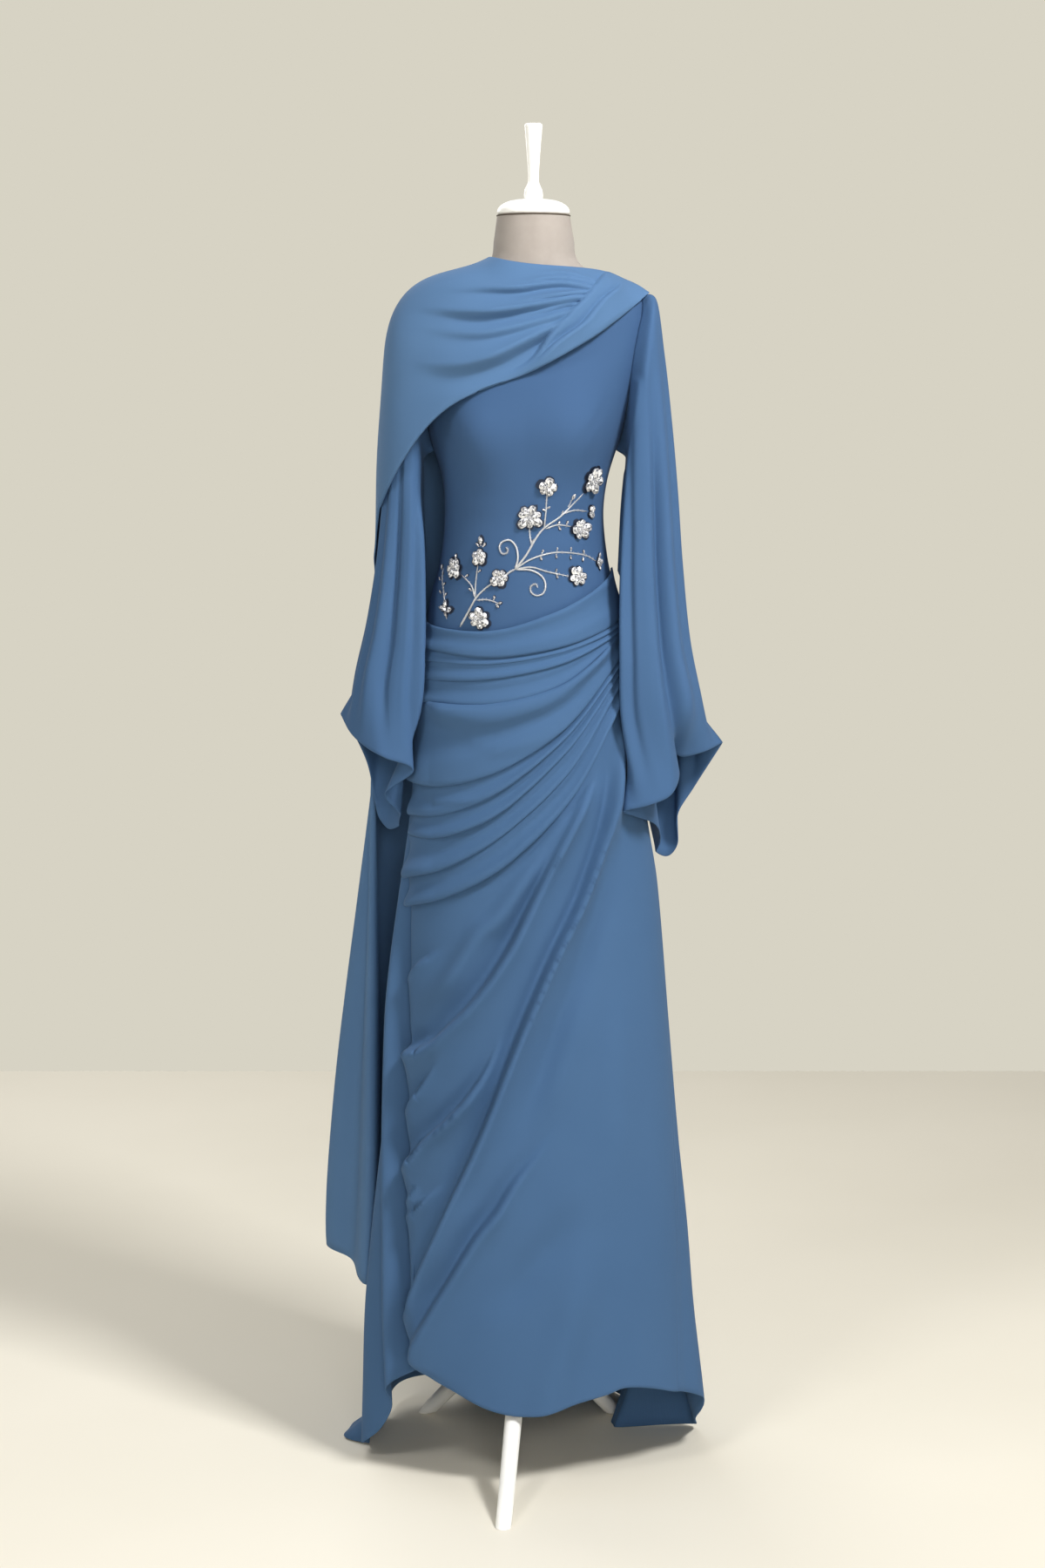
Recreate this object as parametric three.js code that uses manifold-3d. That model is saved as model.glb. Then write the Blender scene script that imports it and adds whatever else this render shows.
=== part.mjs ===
// Floor-length evening dress in dusty blue crepe chiffon, with a draped shawl, on a limbless dress form and its stand.
// Millimetres, +Z up. The dress faces -Y and +X is on the right of someone who looks at its front.
import * as THREE from "three";
import { mergeVertices } from "three/addons/utils/BufferGeometryUtils.js";
import Module from "manifold-3d";

const wasm = await Module();
wasm.setup();

// Driving sizes
const CLOTH = 1.6; // wall of the dress cloth
const FIT = 2.4; // from the form to the bodice's inner face
const SEAM = 0.3; // gap between pieces that are stacked
const SEAM_HALF = 0.45; // half the gap along a sewn seam
const FORM_FOOT = 905; // height of the form's flat underside
const NECK_TOP = 1693;
const WAIST_SEAM = 1148;
const UNDERARM = 1386;
const SHOULDER_TIP = 1588;
const TRAIN_CLEAR = 4; // the train's hem above the floor
const POLE_RADIUS = 12;
const HUB = { radius: 27, low: 138, high: 190 };
const LEG = { top: 12.5, toe: 10.5, sides: 12 };
const FEET = [
  { name: "stand_leg_front", x: -25, y: -292 },
  { name: "stand_leg_left", x: -140, y: 145 },
  { name: "stand_leg_right", x: 135, y: 140 },
];

// The dress form, from its flat underside up to the neck
const FORM = [
  { z: 905, half: 131, front: 90, back: 100, shift: 0 },
  { z: 960, half: 138, front: 97, back: 112, shift: 0 },
  { z: 1030, half: 139, front: 100, back: 114, shift: 1 },
  { z: 1100, half: 133, front: 99, back: 109, shift: 1 },
  { z: 1180, half: 122, front: 98, back: 100, shift: 1 },
  { z: 1240, half: 108, front: 95, back: 88, shift: 2 },
  { z: 1300, half: 102, front: 94, back: 83, shift: 2 },
  { z: 1350, half: 107, front: 101, back: 85, shift: 3 },
  { z: 1410, half: 125, front: 111, back: 90, shift: 4 },
  { z: 1460, half: 138, front: 108, back: 95, shift: 6 },
  { z: 1510, half: 147, front: 98, back: 97, shift: 9 },
  { z: 1550, half: 149, front: 86, back: 93, shift: 11 },
  { z: 1575, half: 144, front: 77, back: 86, shift: 12 },
  { z: 1590, half: 134, front: 71, back: 80, shift: 13 },
  { z: 1602, half: 110, front: 65, back: 74, shift: 14 },
  { z: 1614, half: 82, front: 60, back: 67, shift: 14.5 },
  { z: 1634, half: 58, front: 55, back: 57, shift: 15 },
  { z: 1660, half: 53, front: 52, back: 52, shift: 15 },
  { z: 1693, half: 48, front: 48, back: 48, shift: 14.5 },
];
const BUST = { height: 1405, spread: 52, angle: 0.52, width: 0.3, fullness: 13 };
const BODICE_LEVELS = [
  1148.3, 1200, 1250, 1300, 1345, 1386, 1422, 1460, 1500, 1540, 1568, 1588, 1599, 1609, 1619,
];

const FRONT_COLUMNS = 14;

// How far round the front, in degrees, the bodice panels reach at the armhole
const ARMHOLE = [
  { z: 1148, angle: 90 },
  { z: 1386, angle: 90 },
  { z: 1422, angle: 80 },
  { z: 1460, angle: 71 },
  { z: 1500, angle: 66 },
  { z: 1540, angle: 68 },
  { z: 1568, angle: 77 },
  { z: 1588, angle: 90 },
  { z: 1619, angle: 90 },
];

// The skirt's outer face: reach to the left, right, front and back, and the two side seams in degrees
const SKIRT = [
  { z: 0, left: 206, right: 254, front: 166, back: 292, seamLeft: 45, seamRight: 60 },
  { z: 100, left: 203, right: 246, front: 160, back: 268, seamLeft: 47, seamRight: 62 },
  { z: 216, left: 200, right: 233, front: 152, back: 240, seamLeft: 50.5, seamRight: 66.5 },
  { z: 330, left: 192, right: 222, front: 143, back: 212, seamLeft: 54, seamRight: 71 },
  { z: 450, left: 183, right: 211, front: 134, back: 187, seamLeft: 58, seamRight: 75.5 },
  { z: 600, left: 172, right: 199, front: 124, back: 162, seamLeft: 63, seamRight: 80.5 },
  { z: 800, left: 159, right: 182, front: 112, back: 137, seamLeft: 70, seamRight: 85.5 },
  { z: 880, left: 152, right: 169, front: 108, back: 129, seamLeft: 74.5, seamRight: 87 },
  { z: 960, left: 146, right: 157, front: 105.5, back: 122, seamLeft: 79.5, seamRight: 88 },
  { z: 1030, left: 143, right: 147, front: 105.5, back: 121, seamLeft: 83.5, seamRight: 88 },
  { z: 1100, left: 137, right: 139, front: 105, back: 117.5, seamLeft: 86.5, seamRight: 88 },
  { z: 1148, left: 129, right: 132, front: 103, back: 110, seamLeft: 88, seamRight: 88 },
];

// Height of the hem at each angle from the centre front, in degrees, towards the right
const HEM = [
  { angle: -180, z: 4 },
  { angle: -120, z: 4 },
  { angle: -93, z: 4 },
  { angle: -84, z: 12 },
  { angle: -75, z: 42 },
  { angle: -65, z: 80 },
  { angle: -55, z: 118 },
  { angle: -44, z: 152 },
  { angle: -36, z: 138 },
  { angle: -24, z: 121 },
  { angle: 0, z: 107 },
  { angle: 20, z: 106 },
  { angle: 32, z: 115 },
  { angle: 46, z: 126 },
  { angle: 61, z: 112 },
  { angle: 75, z: 86 },
  { angle: 84, z: 68 },
  { angle: 92, z: 44 },
  { angle: 100, z: 20 },
  { angle: 108, z: 7 },
  { angle: 118, z: 4 },
  { angle: 135, z: 4 },
  { angle: 180, z: 4 },
];
const BACK_FLUTES = { count: 9, depth: 19, start: 1000, turn: 20 };
const SEAM_GROOVE = { behind: 10, width: 7, depth: 9 };
const TRAIN_CURLS = [
  { angle: -90, width: 12, reach: 40, height: 22 },
  { angle: 126, width: 16, reach: -46, height: 180 },
];

// Soft folds that fall from the right hip over the front skirt: start, bend and end across and up, then their form
const SKIRT_FOLDS = [
  { x0: 128, z0: 1030, x1: 60, z1: 800, x2: -28, z2: 716, width: 26, rise: 13 },
  { x0: -28, z0: 716, x1: -60, z1: 640, x2: -149, z2: 592, width: 24, rise: 15 },
  { x0: -40, z0: 676, x1: -90, z1: 600, x2: -154, z2: 492, width: 20, rise: 10 },
  { x0: 10, z0: 700, x1: -60, z1: 540, x2: -154, z2: 420, width: 23, rise: 14 },
  { x0: 130, z0: 1050, x1: 92, z1: 700, x2: -14, z2: 560, width: 32, rise: 17 },
  { x0: -14, z0: 560, x1: -70, z1: 430, x2: -148, z2: 236, width: 32, rise: 17 },
  { x0: 66, z0: 640, x1: 10, z1: 420, x2: -130, z2: 196, width: 28, rise: 13 },
  { x0: 92, z0: 487, x1: 20, z1: 380, x2: -54, z2: 214, width: 30, rise: 10 },
];

// Lower edges of the draped pleats over waist and hip: height at six even steps from the left seam to the right hip.
// lift is how far the cloth stands off what it covers at that edge
const PLEAT_SPAN = { left: -84, right: 86 };
const BAND_PLEATS = [
  { a: 1157, b: 1150, c: 1150, d: 1173, e: 1203, f: 1226, lift: 1.2 },
  { a: 1127, b: 1122, c: 1118, d: 1130, e: 1151, f: 1170, lift: 6.5 },
  { a: 1110, b: 1107, c: 1108, d: 1121, e: 1142, f: 1162, lift: 6 },
  { a: 1085, b: 1084, c: 1089, d: 1106, e: 1134, f: 1155, lift: 7 },
  { a: 1057, b: 1053, c: 1055, d: 1077, e: 1124, f: 1147, lift: 8 },
];
const DRAPE_PLEATS = [
  { a: 1056, b: 1052, c: 1054, d: 1076, e: 1123, f: 1146, lift: 1.2 },
  { a: 946, b: 946, c: 968, d: 1020, e: 1092, f: 1136, lift: 8 },
  { a: 900, b: 907, c: 940, d: 1006, e: 1083, f: 1128, lift: 8 },
  { a: 872, b: 877, c: 913, d: 988, e: 1072, f: 1120, lift: 9 },
  { a: 816, b: 836, c: 883, d: 960, e: 1056, f: 1112, lift: 9 },
  { a: 777, b: 798, c: 843, d: 926, e: 1035, f: 1103, lift: 9 },
];
// Rows inside each pleat: share of its height, and share of the lift there
const PLEAT_ROWS = [
  { at: 0.14, lift: 0.22 },
  { at: 0.88, lift: 1 },
  { at: 1, lift: 0.74 },
];

// Sleeves, from the shoulder down: the outer and the inner side of each ring, and its depth to front and back.
// x is counted away from the body's middle plane on either side
const SLEEVES = {
  right: [
    { t: 0.06, outX: 177, outZ: 1584, inX: 138, inZ: 1374, front: 62, back: 60, fold: 0 },
    { t: 0.14, outX: 189, outZ: 1520, inX: 136, inZ: 1350, front: 64, back: 62, fold: 1 },
    { t: 0.27, outX: 200, outZ: 1420, inX: 134, inZ: 1306, front: 66, back: 64, fold: 4 },
    { t: 0.4, outX: 208, outZ: 1330, inX: 133, inZ: 1254, front: 67, back: 64, fold: 7 },
    { t: 0.55, outX: 216, outZ: 1236, inX: 132, inZ: 1190, front: 68, back: 66, fold: 8 },
    { t: 0.7, outX: 228, outZ: 1134, inX: 132, inZ: 1112, front: 70, back: 68, fold: 9 },
    { t: 0.84, outX: 245, outZ: 1050, inX: 133, inZ: 1020, front: 72, back: 68, fold: 10 },
  ],
  left: [
    { t: 0.06, outX: 161, outZ: 1556, inX: 131, inZ: 1374, front: 60, back: 58, fold: 0 },
    { t: 0.14, outX: 169, outZ: 1500, inX: 132, inZ: 1350, front: 62, back: 60, fold: 1 },
    { t: 0.27, outX: 177, outZ: 1420, inX: 133, inZ: 1306, front: 62, back: 60, fold: 3 },
    { t: 0.4, outX: 184, outZ: 1330, inX: 133, inZ: 1254, front: 63, back: 60, fold: 6 },
    { t: 0.55, outX: 194, outZ: 1240, inX: 133, inZ: 1190, front: 64, back: 62, fold: 8 },
    { t: 0.7, outX: 208, outZ: 1156, inX: 133, inZ: 1112, front: 66, back: 62, fold: 9 },
    { t: 0.84, outX: 226, outZ: 1086, inX: 134, inZ: 1040, front: 68, back: 60, fold: 10 },
  ],
};
// Free edge of each sleeve, once round from the outer side by way of the front
const CUFFS = {
  right: [
    { angle: 0, x: 271, y: 4, z: 992 },
    { angle: 26, x: 246, y: -24, z: 983 },
    { angle: 45, x: 215, y: -30, z: 976 },
    { angle: 60, x: 199, y: -34, z: 984 },
    { angle: 76, x: 210, y: -54, z: 958 },
    { angle: 96, x: 198, y: -72, z: 932 },
    { angle: 122, x: 166, y: -76, z: 916 },
    { angle: 158, x: 134, y: -56, z: 909 },
    { angle: 186, x: 156, y: -26, z: 885 },
    { angle: 212, x: 168, y: 8, z: 860 },
    { angle: 240, x: 180, y: 40, z: 838 },
    { angle: 268, x: 200, y: 58, z: 828 },
    { angle: 290, x: 214, y: 52, z: 846 },
    { angle: 310, x: 213, y: 32, z: 890 },
    { angle: 332, x: 236, y: 28, z: 930 },
    { angle: 360, x: 271, y: 4, z: 992 },
  ],
  left: [
    { angle: 0, x: 246, y: 0, z: 1031 },
    { angle: 28, x: 231, y: -32, z: 1009 },
    { angle: 54, x: 209, y: -54, z: 992 },
    { angle: 80, x: 184, y: -68, z: 980 },
    { angle: 114, x: 145, y: -60, z: 961 },
    { angle: 142, x: 184, y: -34, z: 926 },
    { angle: 174, x: 160, y: -12, z: 890 },
    { angle: 208, x: 180, y: 26, z: 870 },
    { angle: 236, x: 196, y: 42, z: 883 },
    { angle: 264, x: 203, y: 44, z: 908 },
    { angle: 296, x: 212, y: 36, z: 958 },
    { angle: 330, x: 232, y: 24, z: 1006 },
    { angle: 360, x: 246, y: 0, z: 1031 },
  ],
};
const SLEEVE_FOLDS = { count: 7, turn: 0.4 };

// The shawl: sections across it, from the gathers on the right shoulder, over chest and left shoulder, to the tail's hem.
// n is the neck edge, p and q lie between, and e is the free outer edge
const SHAWL = [
  { s: 0, nx: 134, ny: 4, nz: 1610, px: 150, py: -2, pz: 1603, qx: 163, qy: -6, qz: 1597, ex: 174, ey: -8, ez: 1588 },
  { s: 0.06, nx: 112, ny: -30, nz: 1619, px: 117, py: -56, pz: 1602, qx: 121, qy: -72, qz: 1578, ex: 122, ey: -80, ez: 1553 },
  { s: 0.12, nx: 66, ny: -60, nz: 1622, px: 68, py: -80, pz: 1594, qx: 70, qy: -94, qz: 1558, ex: 72, ey: -102, ez: 1520 },
  { s: 0.2, nx: 4, ny: -66, nz: 1626, px: 4, py: -88, pz: 1582, qx: 2, qy: -103, qz: 1532, ex: 0, ey: -113, ez: 1476 },
  { s: 0.26, nx: -28, ny: -56, nz: 1632, px: -44, py: -84, pz: 1578, qx: -60, qy: -102, qz: 1516, ex: -74, ey: -112, ez: 1457 },
  { s: 0.33, nx: -41, ny: -24, nz: 1636, px: -90, py: -56, pz: 1592, qx: -128, qy: -72, qz: 1500, ex: -130, ey: -90, ez: 1412 },
  { s: 0.4, nx: -44, ny: 10, nz: 1635, px: -134, py: -14, pz: 1603, qx: -174, qy: -36, qz: 1490, ex: -182, ey: -62, ez: 1318 },
  { s: 0.46, nx: -39, ny: 40, nz: 1630, px: -132, py: 30, pz: 1602, qx: -182, qy: 18, qz: 1460, ex: -196, ey: 6, ez: 1272 },
  { s: 0.53, nx: -20, ny: 72, nz: 1604, px: -98, py: 84, pz: 1556, qx: -172, qy: 66, qz: 1380, ex: -200, ey: 46, ez: 1180 },
  { s: 0.62, nx: 14, ny: 112, nz: 1490, px: -64, py: 128, pz: 1390, qx: -158, qy: 112, qz: 1210, ex: -208, ey: 74, ez: 1020 },
  { s: 0.74, nx: 34, ny: 146, nz: 1120, px: -60, py: 162, pz: 1010, qx: -211, qy: 116, qz: 800, ex: -202, ey: 58, ez: 760 },
  { s: 0.88, nx: 36, ny: 206, nz: 640, px: -82, py: 208, pz: 580, qx: -246, qy: 106, qz: 540, ex: -212, ey: 10, ez: 500 },
  { s: 1, nx: 24, ny: 262, nz: 190, px: -118, py: 252, pz: 205, qx: -272, qy: 104, qz: 272, ex: -214, ey: -30, ez: 246 },
];
const SHAWL_CLEAR = { gathers: 0.8, rest: 2.6, until: 2 };
const SHAWL_FOLDS = [
  { s: 0, depth: 0.5 },
  { s: 0.05, depth: 6 },
  { s: 0.12, depth: 11 },
  { s: 0.22, depth: 10 },
  { s: 0.33, depth: 5 },
  { s: 0.45, depth: 2 },
  { s: 0.62, depth: 5 },
  { s: 1, depth: 12 },
];
const SHAWL_FOLD_COUNT = 4.5;

// Stone flowers sewn to the bodice and band: place across and up, radius and petals
const FLOWERS = [
  { name: "flower_1", x: 92, z: 1350, r: 15, petals: 6 },
  { name: "flower_2", x: 31, z: 1340, r: 11, petals: 5 },
  { name: "flower_3", x: 8, z: 1299, r: 15, petals: 7 },
  { name: "flower_4", x: 88, z: 1305, r: 8.5, petals: 4 },
  { name: "flower_5", x: 74, z: 1280, r: 13.5, petals: 6 },
  { name: "flower_6", x: 99, z: 1234, r: 8, petals: 4 },
  { name: "flower_7", x: 71, z: 1217, r: 12, petals: 6 },
  { name: "flower_8", x: -54, z: 1250, r: 9.5, petals: 5 },
  { name: "flower_9", x: -85, z: 1229, r: 12.5, petals: 6 },
  { name: "flower_10", x: -29, z: 1220, r: 10, petals: 5 },
  { name: "flower_11", x: -55, z: 1170, r: 11, petals: 6 },
  { name: "flower_12", x: -96, z: 1182, r: 9, petals: 3 },
];
const FLOWER = { rise: 5, lip: 1.4, notch: 0.76, lift: 0.6, slope: 0.05 };
// Corded stems, each a bent line across and up on the bodice
const STEM = { width: 3, rise: 2.2, steps: 4, lift: 1.35 };
const SPRAYS = {
  spray_upper: [
    { x0: -11, z0: 1228, x1: 18, z1: 1252, x2: 30, z2: 1287 },
    { x0: 30, z0: 1287, x1: 32, z1: 1305, x2: 32, z2: 1328 },
    { x0: 30, z0: 1287, x1: 58, z1: 1300, x2: 79, z2: 1337 },
    { x0: 52, z0: 1303, x1: 64, z1: 1309, x2: 78, z2: 1308 },
    { x0: 30, z0: 1287, x1: 44, z1: 1298, x2: 61, z2: 1289 },
    { x0: 15, z0: 1257, x1: 13, z1: 1268, x2: 10, z2: 1283 },
    { x0: -8, z0: 1229, x1: 42, z1: 1262, x2: 90, z2: 1237 },
    { x0: -8, z0: 1229, x1: 22, z1: 1236, x2: 58, z2: 1219 },
    { x0: -8, z0: 1229, x1: -8, z1: 1268, x2: -24, z2: 1257 },
    { x0: -8, z0: 1229, x1: 32, z1: 1228, x2: 20, z2: 1202 },
  ],
  spray_lower: [
    { x0: -77, z0: 1172, x1: -66, z1: 1184, x2: -60, z2: 1198 },
    { x0: -60, z0: 1198, x1: -52, z1: 1212, x2: -39, z2: 1217 },
    { x0: -60, z0: 1198, x1: -60, z1: 1220, x2: -56, z2: 1239 },
    { x0: -60, z0: 1198, x1: -66, z1: 1210, x2: -77, z2: 1218 },
    { x0: -60, z0: 1198, x1: -44, z1: 1201, x2: -30, z2: 1191 },
  ],
};

const rad = THREE.MathUtils.degToRad;
const clamp = THREE.MathUtils.clamp;
const V = (x, y, z) => new THREE.Vector3(x, y, z);
const smooth = (low, high, x) => THREE.MathUtils.smoothstep(x, low, high);
const bell = (x) => Math.exp(-x * x);

// Smooth value of a table's column at a place along its key column, whose values rise
function read(rows, key, column, at) {
  const last = rows.length - 1;
  let i = 0;
  while (i < last - 1 && at > rows[i + 1][key]) i++;
  const slope = (j) => {
    const before = rows[Math.max(j - 1, 0)];
    const after = rows[Math.min(j + 1, last)];
    return (after[column] - before[column]) / (after[key] - before[key]);
  };
  const span = rows[i + 1][key] - rows[i][key];
  const t = clamp((at - rows[i][key]) / span, 0, 1);
  const rise = t * t * (3 - 2 * t);
  const lead = t * (1 - t) * (1 - t) * slope(i) - t * t * (1 - t) * slope(i + 1);
  return rows[i][column] * (1 - rise) + rows[i + 1][column] * rise + lead * span;
}

// The form's surface at an angle from the centre front and a height
function torso(theta, z) {
  const row = (column) => read(FORM, "z", column, z);
  const depth = Math.cos(theta) > 0 ? row("front") : row("back");
  const side = bell((Math.abs(theta) - BUST.angle) / BUST.width);
  const bust = BUST.fullness * side * bell((z - BUST.height) / BUST.spread);
  const x = row("shift") + (row("half") + bust) * Math.sin(theta);
  return V(x, -(depth + bust) * Math.cos(theta), z);
}

// Outward direction of a surface that is given by angle and height
function facing(surface, theta, z) {
  const across = surface(theta + 0.01, z).sub(surface(theta - 0.01, z));
  const up = surface(theta, z + 1).sub(surface(theta, z - 1));
  return across.cross(up).normalize();
}

function raised(surface, theta, z, lift) {
  return surface(theta, z).addScaledVector(facing(surface, theta, z), lift);
}

const bodice = (theta, z) => raised(torso, theta, z, FIT + CLOTH);

// Height of a pleat's lower edge at a share of the way from the left seam to the right hip
function pleatHeight(pleat, share) {
  const heights = [pleat.a, pleat.b, pleat.c, pleat.d, pleat.e, pleat.f];
  const rows = heights.map((z, i) => ({ at: i / (heights.length - 1), z }));
  return read(rows, "at", "z", share);
}

const pleatShare = (theta) => {
  const { left, right } = PLEAT_SPAN;
  return clamp((THREE.MathUtils.radToDeg(theta) - left) / (right - left), 0, 1);
};

// Rise of the soft front folds: a slow swell above each fold line and a quick drop below it
function foldRise(x, z) {
  let most = 0;
  for (const f of SKIRT_FOLDS) {
    let best = Infinity;
    let side = 1;
    const steps = 20;
    for (let i = 0; i <= steps; i++) {
      const t = i / steps;
      const fx = (1 - t) ** 2 * f.x0 + 2 * t * (1 - t) * f.x1 + t * t * f.x2;
      const fz = (1 - t) ** 2 * f.z0 + 2 * t * (1 - t) * f.z1 + t * t * f.z2;
      const away = Math.hypot(x - fx, z - fz);
      if (away < best) {
        best = away;
        side = z - fz - (x - fx) > 0 ? 1 : 0.6;
      }
    }
    most = Math.max(most, f.rise * bell(best / (f.width * side)));
  }
  return most;
}

// The skirt's outer face, all round
function skirt(angle, z) {
  const theta = Math.atan2(Math.sin(angle), Math.cos(angle));
  const row = (column) => read(SKIRT, "z", column, z);
  const degrees = THREE.MathUtils.radToDeg(theta);
  const half = theta < 0 ? row("left") : row("right");
  const depth = Math.cos(theta) > 0 ? row("front") : row("back");
  const low = 1 - smooth(100, BACK_FLUTES.start, z);
  const leftSeam = -row("seamLeft");
  const onBack = clamp((Math.max(leftSeam - degrees, degrees - row("seamRight")) - 4) / 24, 0, 1);
  const flute = Math.cos(BACK_FLUTES.count * theta + rad(BACK_FLUTES.turn));
  let swell = BACK_FLUTES.depth * low * onBack * flute;
  const groove = bell((degrees - leftSeam + SEAM_GROOVE.behind) / SEAM_GROOVE.width);
  swell -= SEAM_GROOVE.depth * smooth(80, 400, 1000 - z) * groove;
  for (const curl of TRAIN_CURLS)
    swell += curl.reach * bell((degrees - curl.angle) / curl.width) * Math.exp(-z / curl.height);
  const x = (half + swell) * Math.sin(theta);
  const p = V(x, -(depth + swell) * Math.cos(theta), z);
  const under = pleatHeight(DRAPE_PLEATS[DRAPE_PLEATS.length - 1], pleatShare(theta)) - z;
  const inFront = smooth(0, 12, degrees - leftSeam) * smooth(0, 20, row("seamRight") - degrees);
  const fold = foldRise(p.x, z) * smooth(0, 60, under) * inFront;
  p.x += fold * Math.sin(theta);
  p.y -= fold * Math.cos(theta);
  return p;
}

const hull = (theta, z) => (z >= WAIST_SEAM ? bodice(theta, z) : skirt(theta, z));

// Directions square to a grid of points, on the side that sign chooses
function squareTo(points, closed, sign) {
  const rows = points.length;
  const cols = points[0].length;
  return points.map((line, i) =>
    line.map((_, j) => {
      const before = closed ? line[(j + cols - 1) % cols] : line[Math.max(j - 1, 0)];
      const after = closed ? line[(j + 1) % cols] : line[Math.min(j + 1, cols - 1)];
      const across = after.clone().sub(before);
      const along = points[Math.min(i + 1, rows - 1)][j].clone().sub(points[Math.max(i - 1, 0)][j]);
      return across.cross(along).normalize().multiplyScalar(sign);
    }),
  );
}

function shifted(points, closed, sign, distance) {
  const away = squareTo(points, closed, sign);
  return points.map((line, i) => line.map((p, j) => p.clone().addScaledVector(away[i][j], distance)));
}

// Mesh data from points and triangles, turned so that its faces point out
function solid(points, triangles) {
  let volume = 0;
  for (const [a, b, c] of triangles) volume += points[a].dot(points[b].clone().cross(points[c]));
  const turned = volume < 0 ? triangles.map(([a, b, c]) => [a, c, b]) : triangles;
  const geometry = new THREE.BufferGeometry();
  geometry.setAttribute("position", new THREE.Float32BufferAttribute(points.flatMap((p) => p.toArray()), 3));
  geometry.setIndex(turned.flat());
  geometry.computeVertexNormals();
  return geometry;
}

// A cloth wall between two grids of points. It goes once round if closed, and its free edges are closed by rims.
// slanted splits each mesh from upper right to lower left, along folds that fall that way
function wall(outer, inner, closed, slanted = false) {
  const rows = outer.length;
  const cols = outer[0].length;
  const points = [...outer.flat(), ...inner.flat()];
  const at = (layer, i, j) => layer * rows * cols + i * cols + (j % cols);
  const triangles = [];
  const quad = (a, b, c, d) => triangles.push(...(slanted ? [[b, c, d], [b, d, a]] : [[a, b, c], [a, c, d]]));
  const wide = closed ? cols : cols - 1;
  for (let i = 0; i < rows - 1; i++)
    for (let j = 0; j < wide; j++) {
      quad(at(0, i, j), at(0, i, j + 1), at(0, i + 1, j + 1), at(0, i + 1, j));
      quad(at(1, i, j), at(1, i + 1, j), at(1, i + 1, j + 1), at(1, i, j + 1));
    }
  for (let j = 0; j < wide; j++) {
    quad(at(0, 0, j), at(1, 0, j), at(1, 0, j + 1), at(0, 0, j + 1));
    quad(at(0, rows - 1, j), at(0, rows - 1, j + 1), at(1, rows - 1, j + 1), at(1, rows - 1, j));
  }
  if (!closed)
    for (let i = 0; i < rows - 1; i++) {
      quad(at(0, i, 0), at(0, i + 1, 0), at(1, i + 1, 0), at(1, i, 0));
      quad(at(0, i, cols - 1), at(1, i, cols - 1), at(1, i + 1, cols - 1), at(0, i + 1, cols - 1));
    }
  return solid(points, triangles);
}

// A solid lofted through rings, and closed at each end towards the ring's own middle or the point given
function loft(rings, ends = []) {
  const sides = rings[0].length;
  const points = rings.flat();
  const triangles = [];
  for (let i = 0; i < rings.length - 1; i++)
    for (let j = 0; j < sides; j++) {
      const k = (j + 1) % sides;
      triangles.push([i * sides + j, i * sides + k, (i + 1) * sides + k]);
      triangles.push([i * sides + j, (i + 1) * sides + k, (i + 1) * sides + j]);
    }
  for (const [ring, flip] of [[0, true], [rings.length - 1, false]]) {
    const middle = rings[ring].reduce((sum, p) => sum.add(p), V(0, 0, 0)).divideScalar(sides);
    points.push(ends[flip ? 0 : 1] ?? middle);
    for (let j = 0; j < sides; j++) {
      const a = ring * sides + j;
      const b = ring * sides + ((j + 1) % sides);
      triangles.push(flip ? [b, a, points.length - 1] : [a, b, points.length - 1]);
    }
  }
  return solid(points, triangles);
}

const evenly = (from, to, count) => Array.from({ length: count + 1 }, (_, i) => from + ((to - from) * i) / count);

const dress = new THREE.Group();
const look = (color, roughness, metalness = 0) => new THREE.MeshStandardMaterial({ color, roughness, metalness });
const CREPE = look("#52779c", 0.85);
const LINEN = look("#d8d0c2", 0.9);
const WHITE = look("#f4f4f2", 0.35);
const SILVER = look("#dcdad6", 0.25, 0.8);

function add(name, geometry, material) {
  const mesh = new THREE.Mesh(geometry, material);
  mesh.name = name;
  dress.add(mesh);
  return mesh;
}

// Dress form: padded torso, turned neck cap and handle
function makeForm() {
  const around = evenly(0, 2 * Math.PI, 20).slice(0, -1);
  const levels = [FORM_FOOT, 960, 1030, 1100, ...BODICE_LEVELS, 1636, 1660, NECK_TOP];
  const rings = levels.map((z) => around.map((theta) => torso(theta, z)));
  add("form_torso", loft(rings), LINEN);
  const neckX = FORM[FORM.length - 1].shift;
  const cap = NECK_TOP + SEAM;
  const capProfile = [[0, 0], [46, 0], [48, 2.5], [47, 8], [40, 15], [28, 19], [14, 20], [0, 20]];
  const handle = cap + 20 + SEAM;
  const handleProfile = [[0, 0], [12, 0], [12.5, 6], [11, 14], [7.5, 21], [7, 26], [12, 95], [11, 98], [0, 98]];
  for (const [name, profile, base] of [["neck_cap", capProfile, cap], ["neck_handle", handleProfile, handle]]) {
    const turned = new THREE.LatheGeometry(profile.map(([r, h]) => new THREE.Vector2(r, h)), 20);
    turned.rotateX(Math.PI / 2);
    add(name, turned, WHITE).position.set(neckX, 0, base);
  }
}

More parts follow.
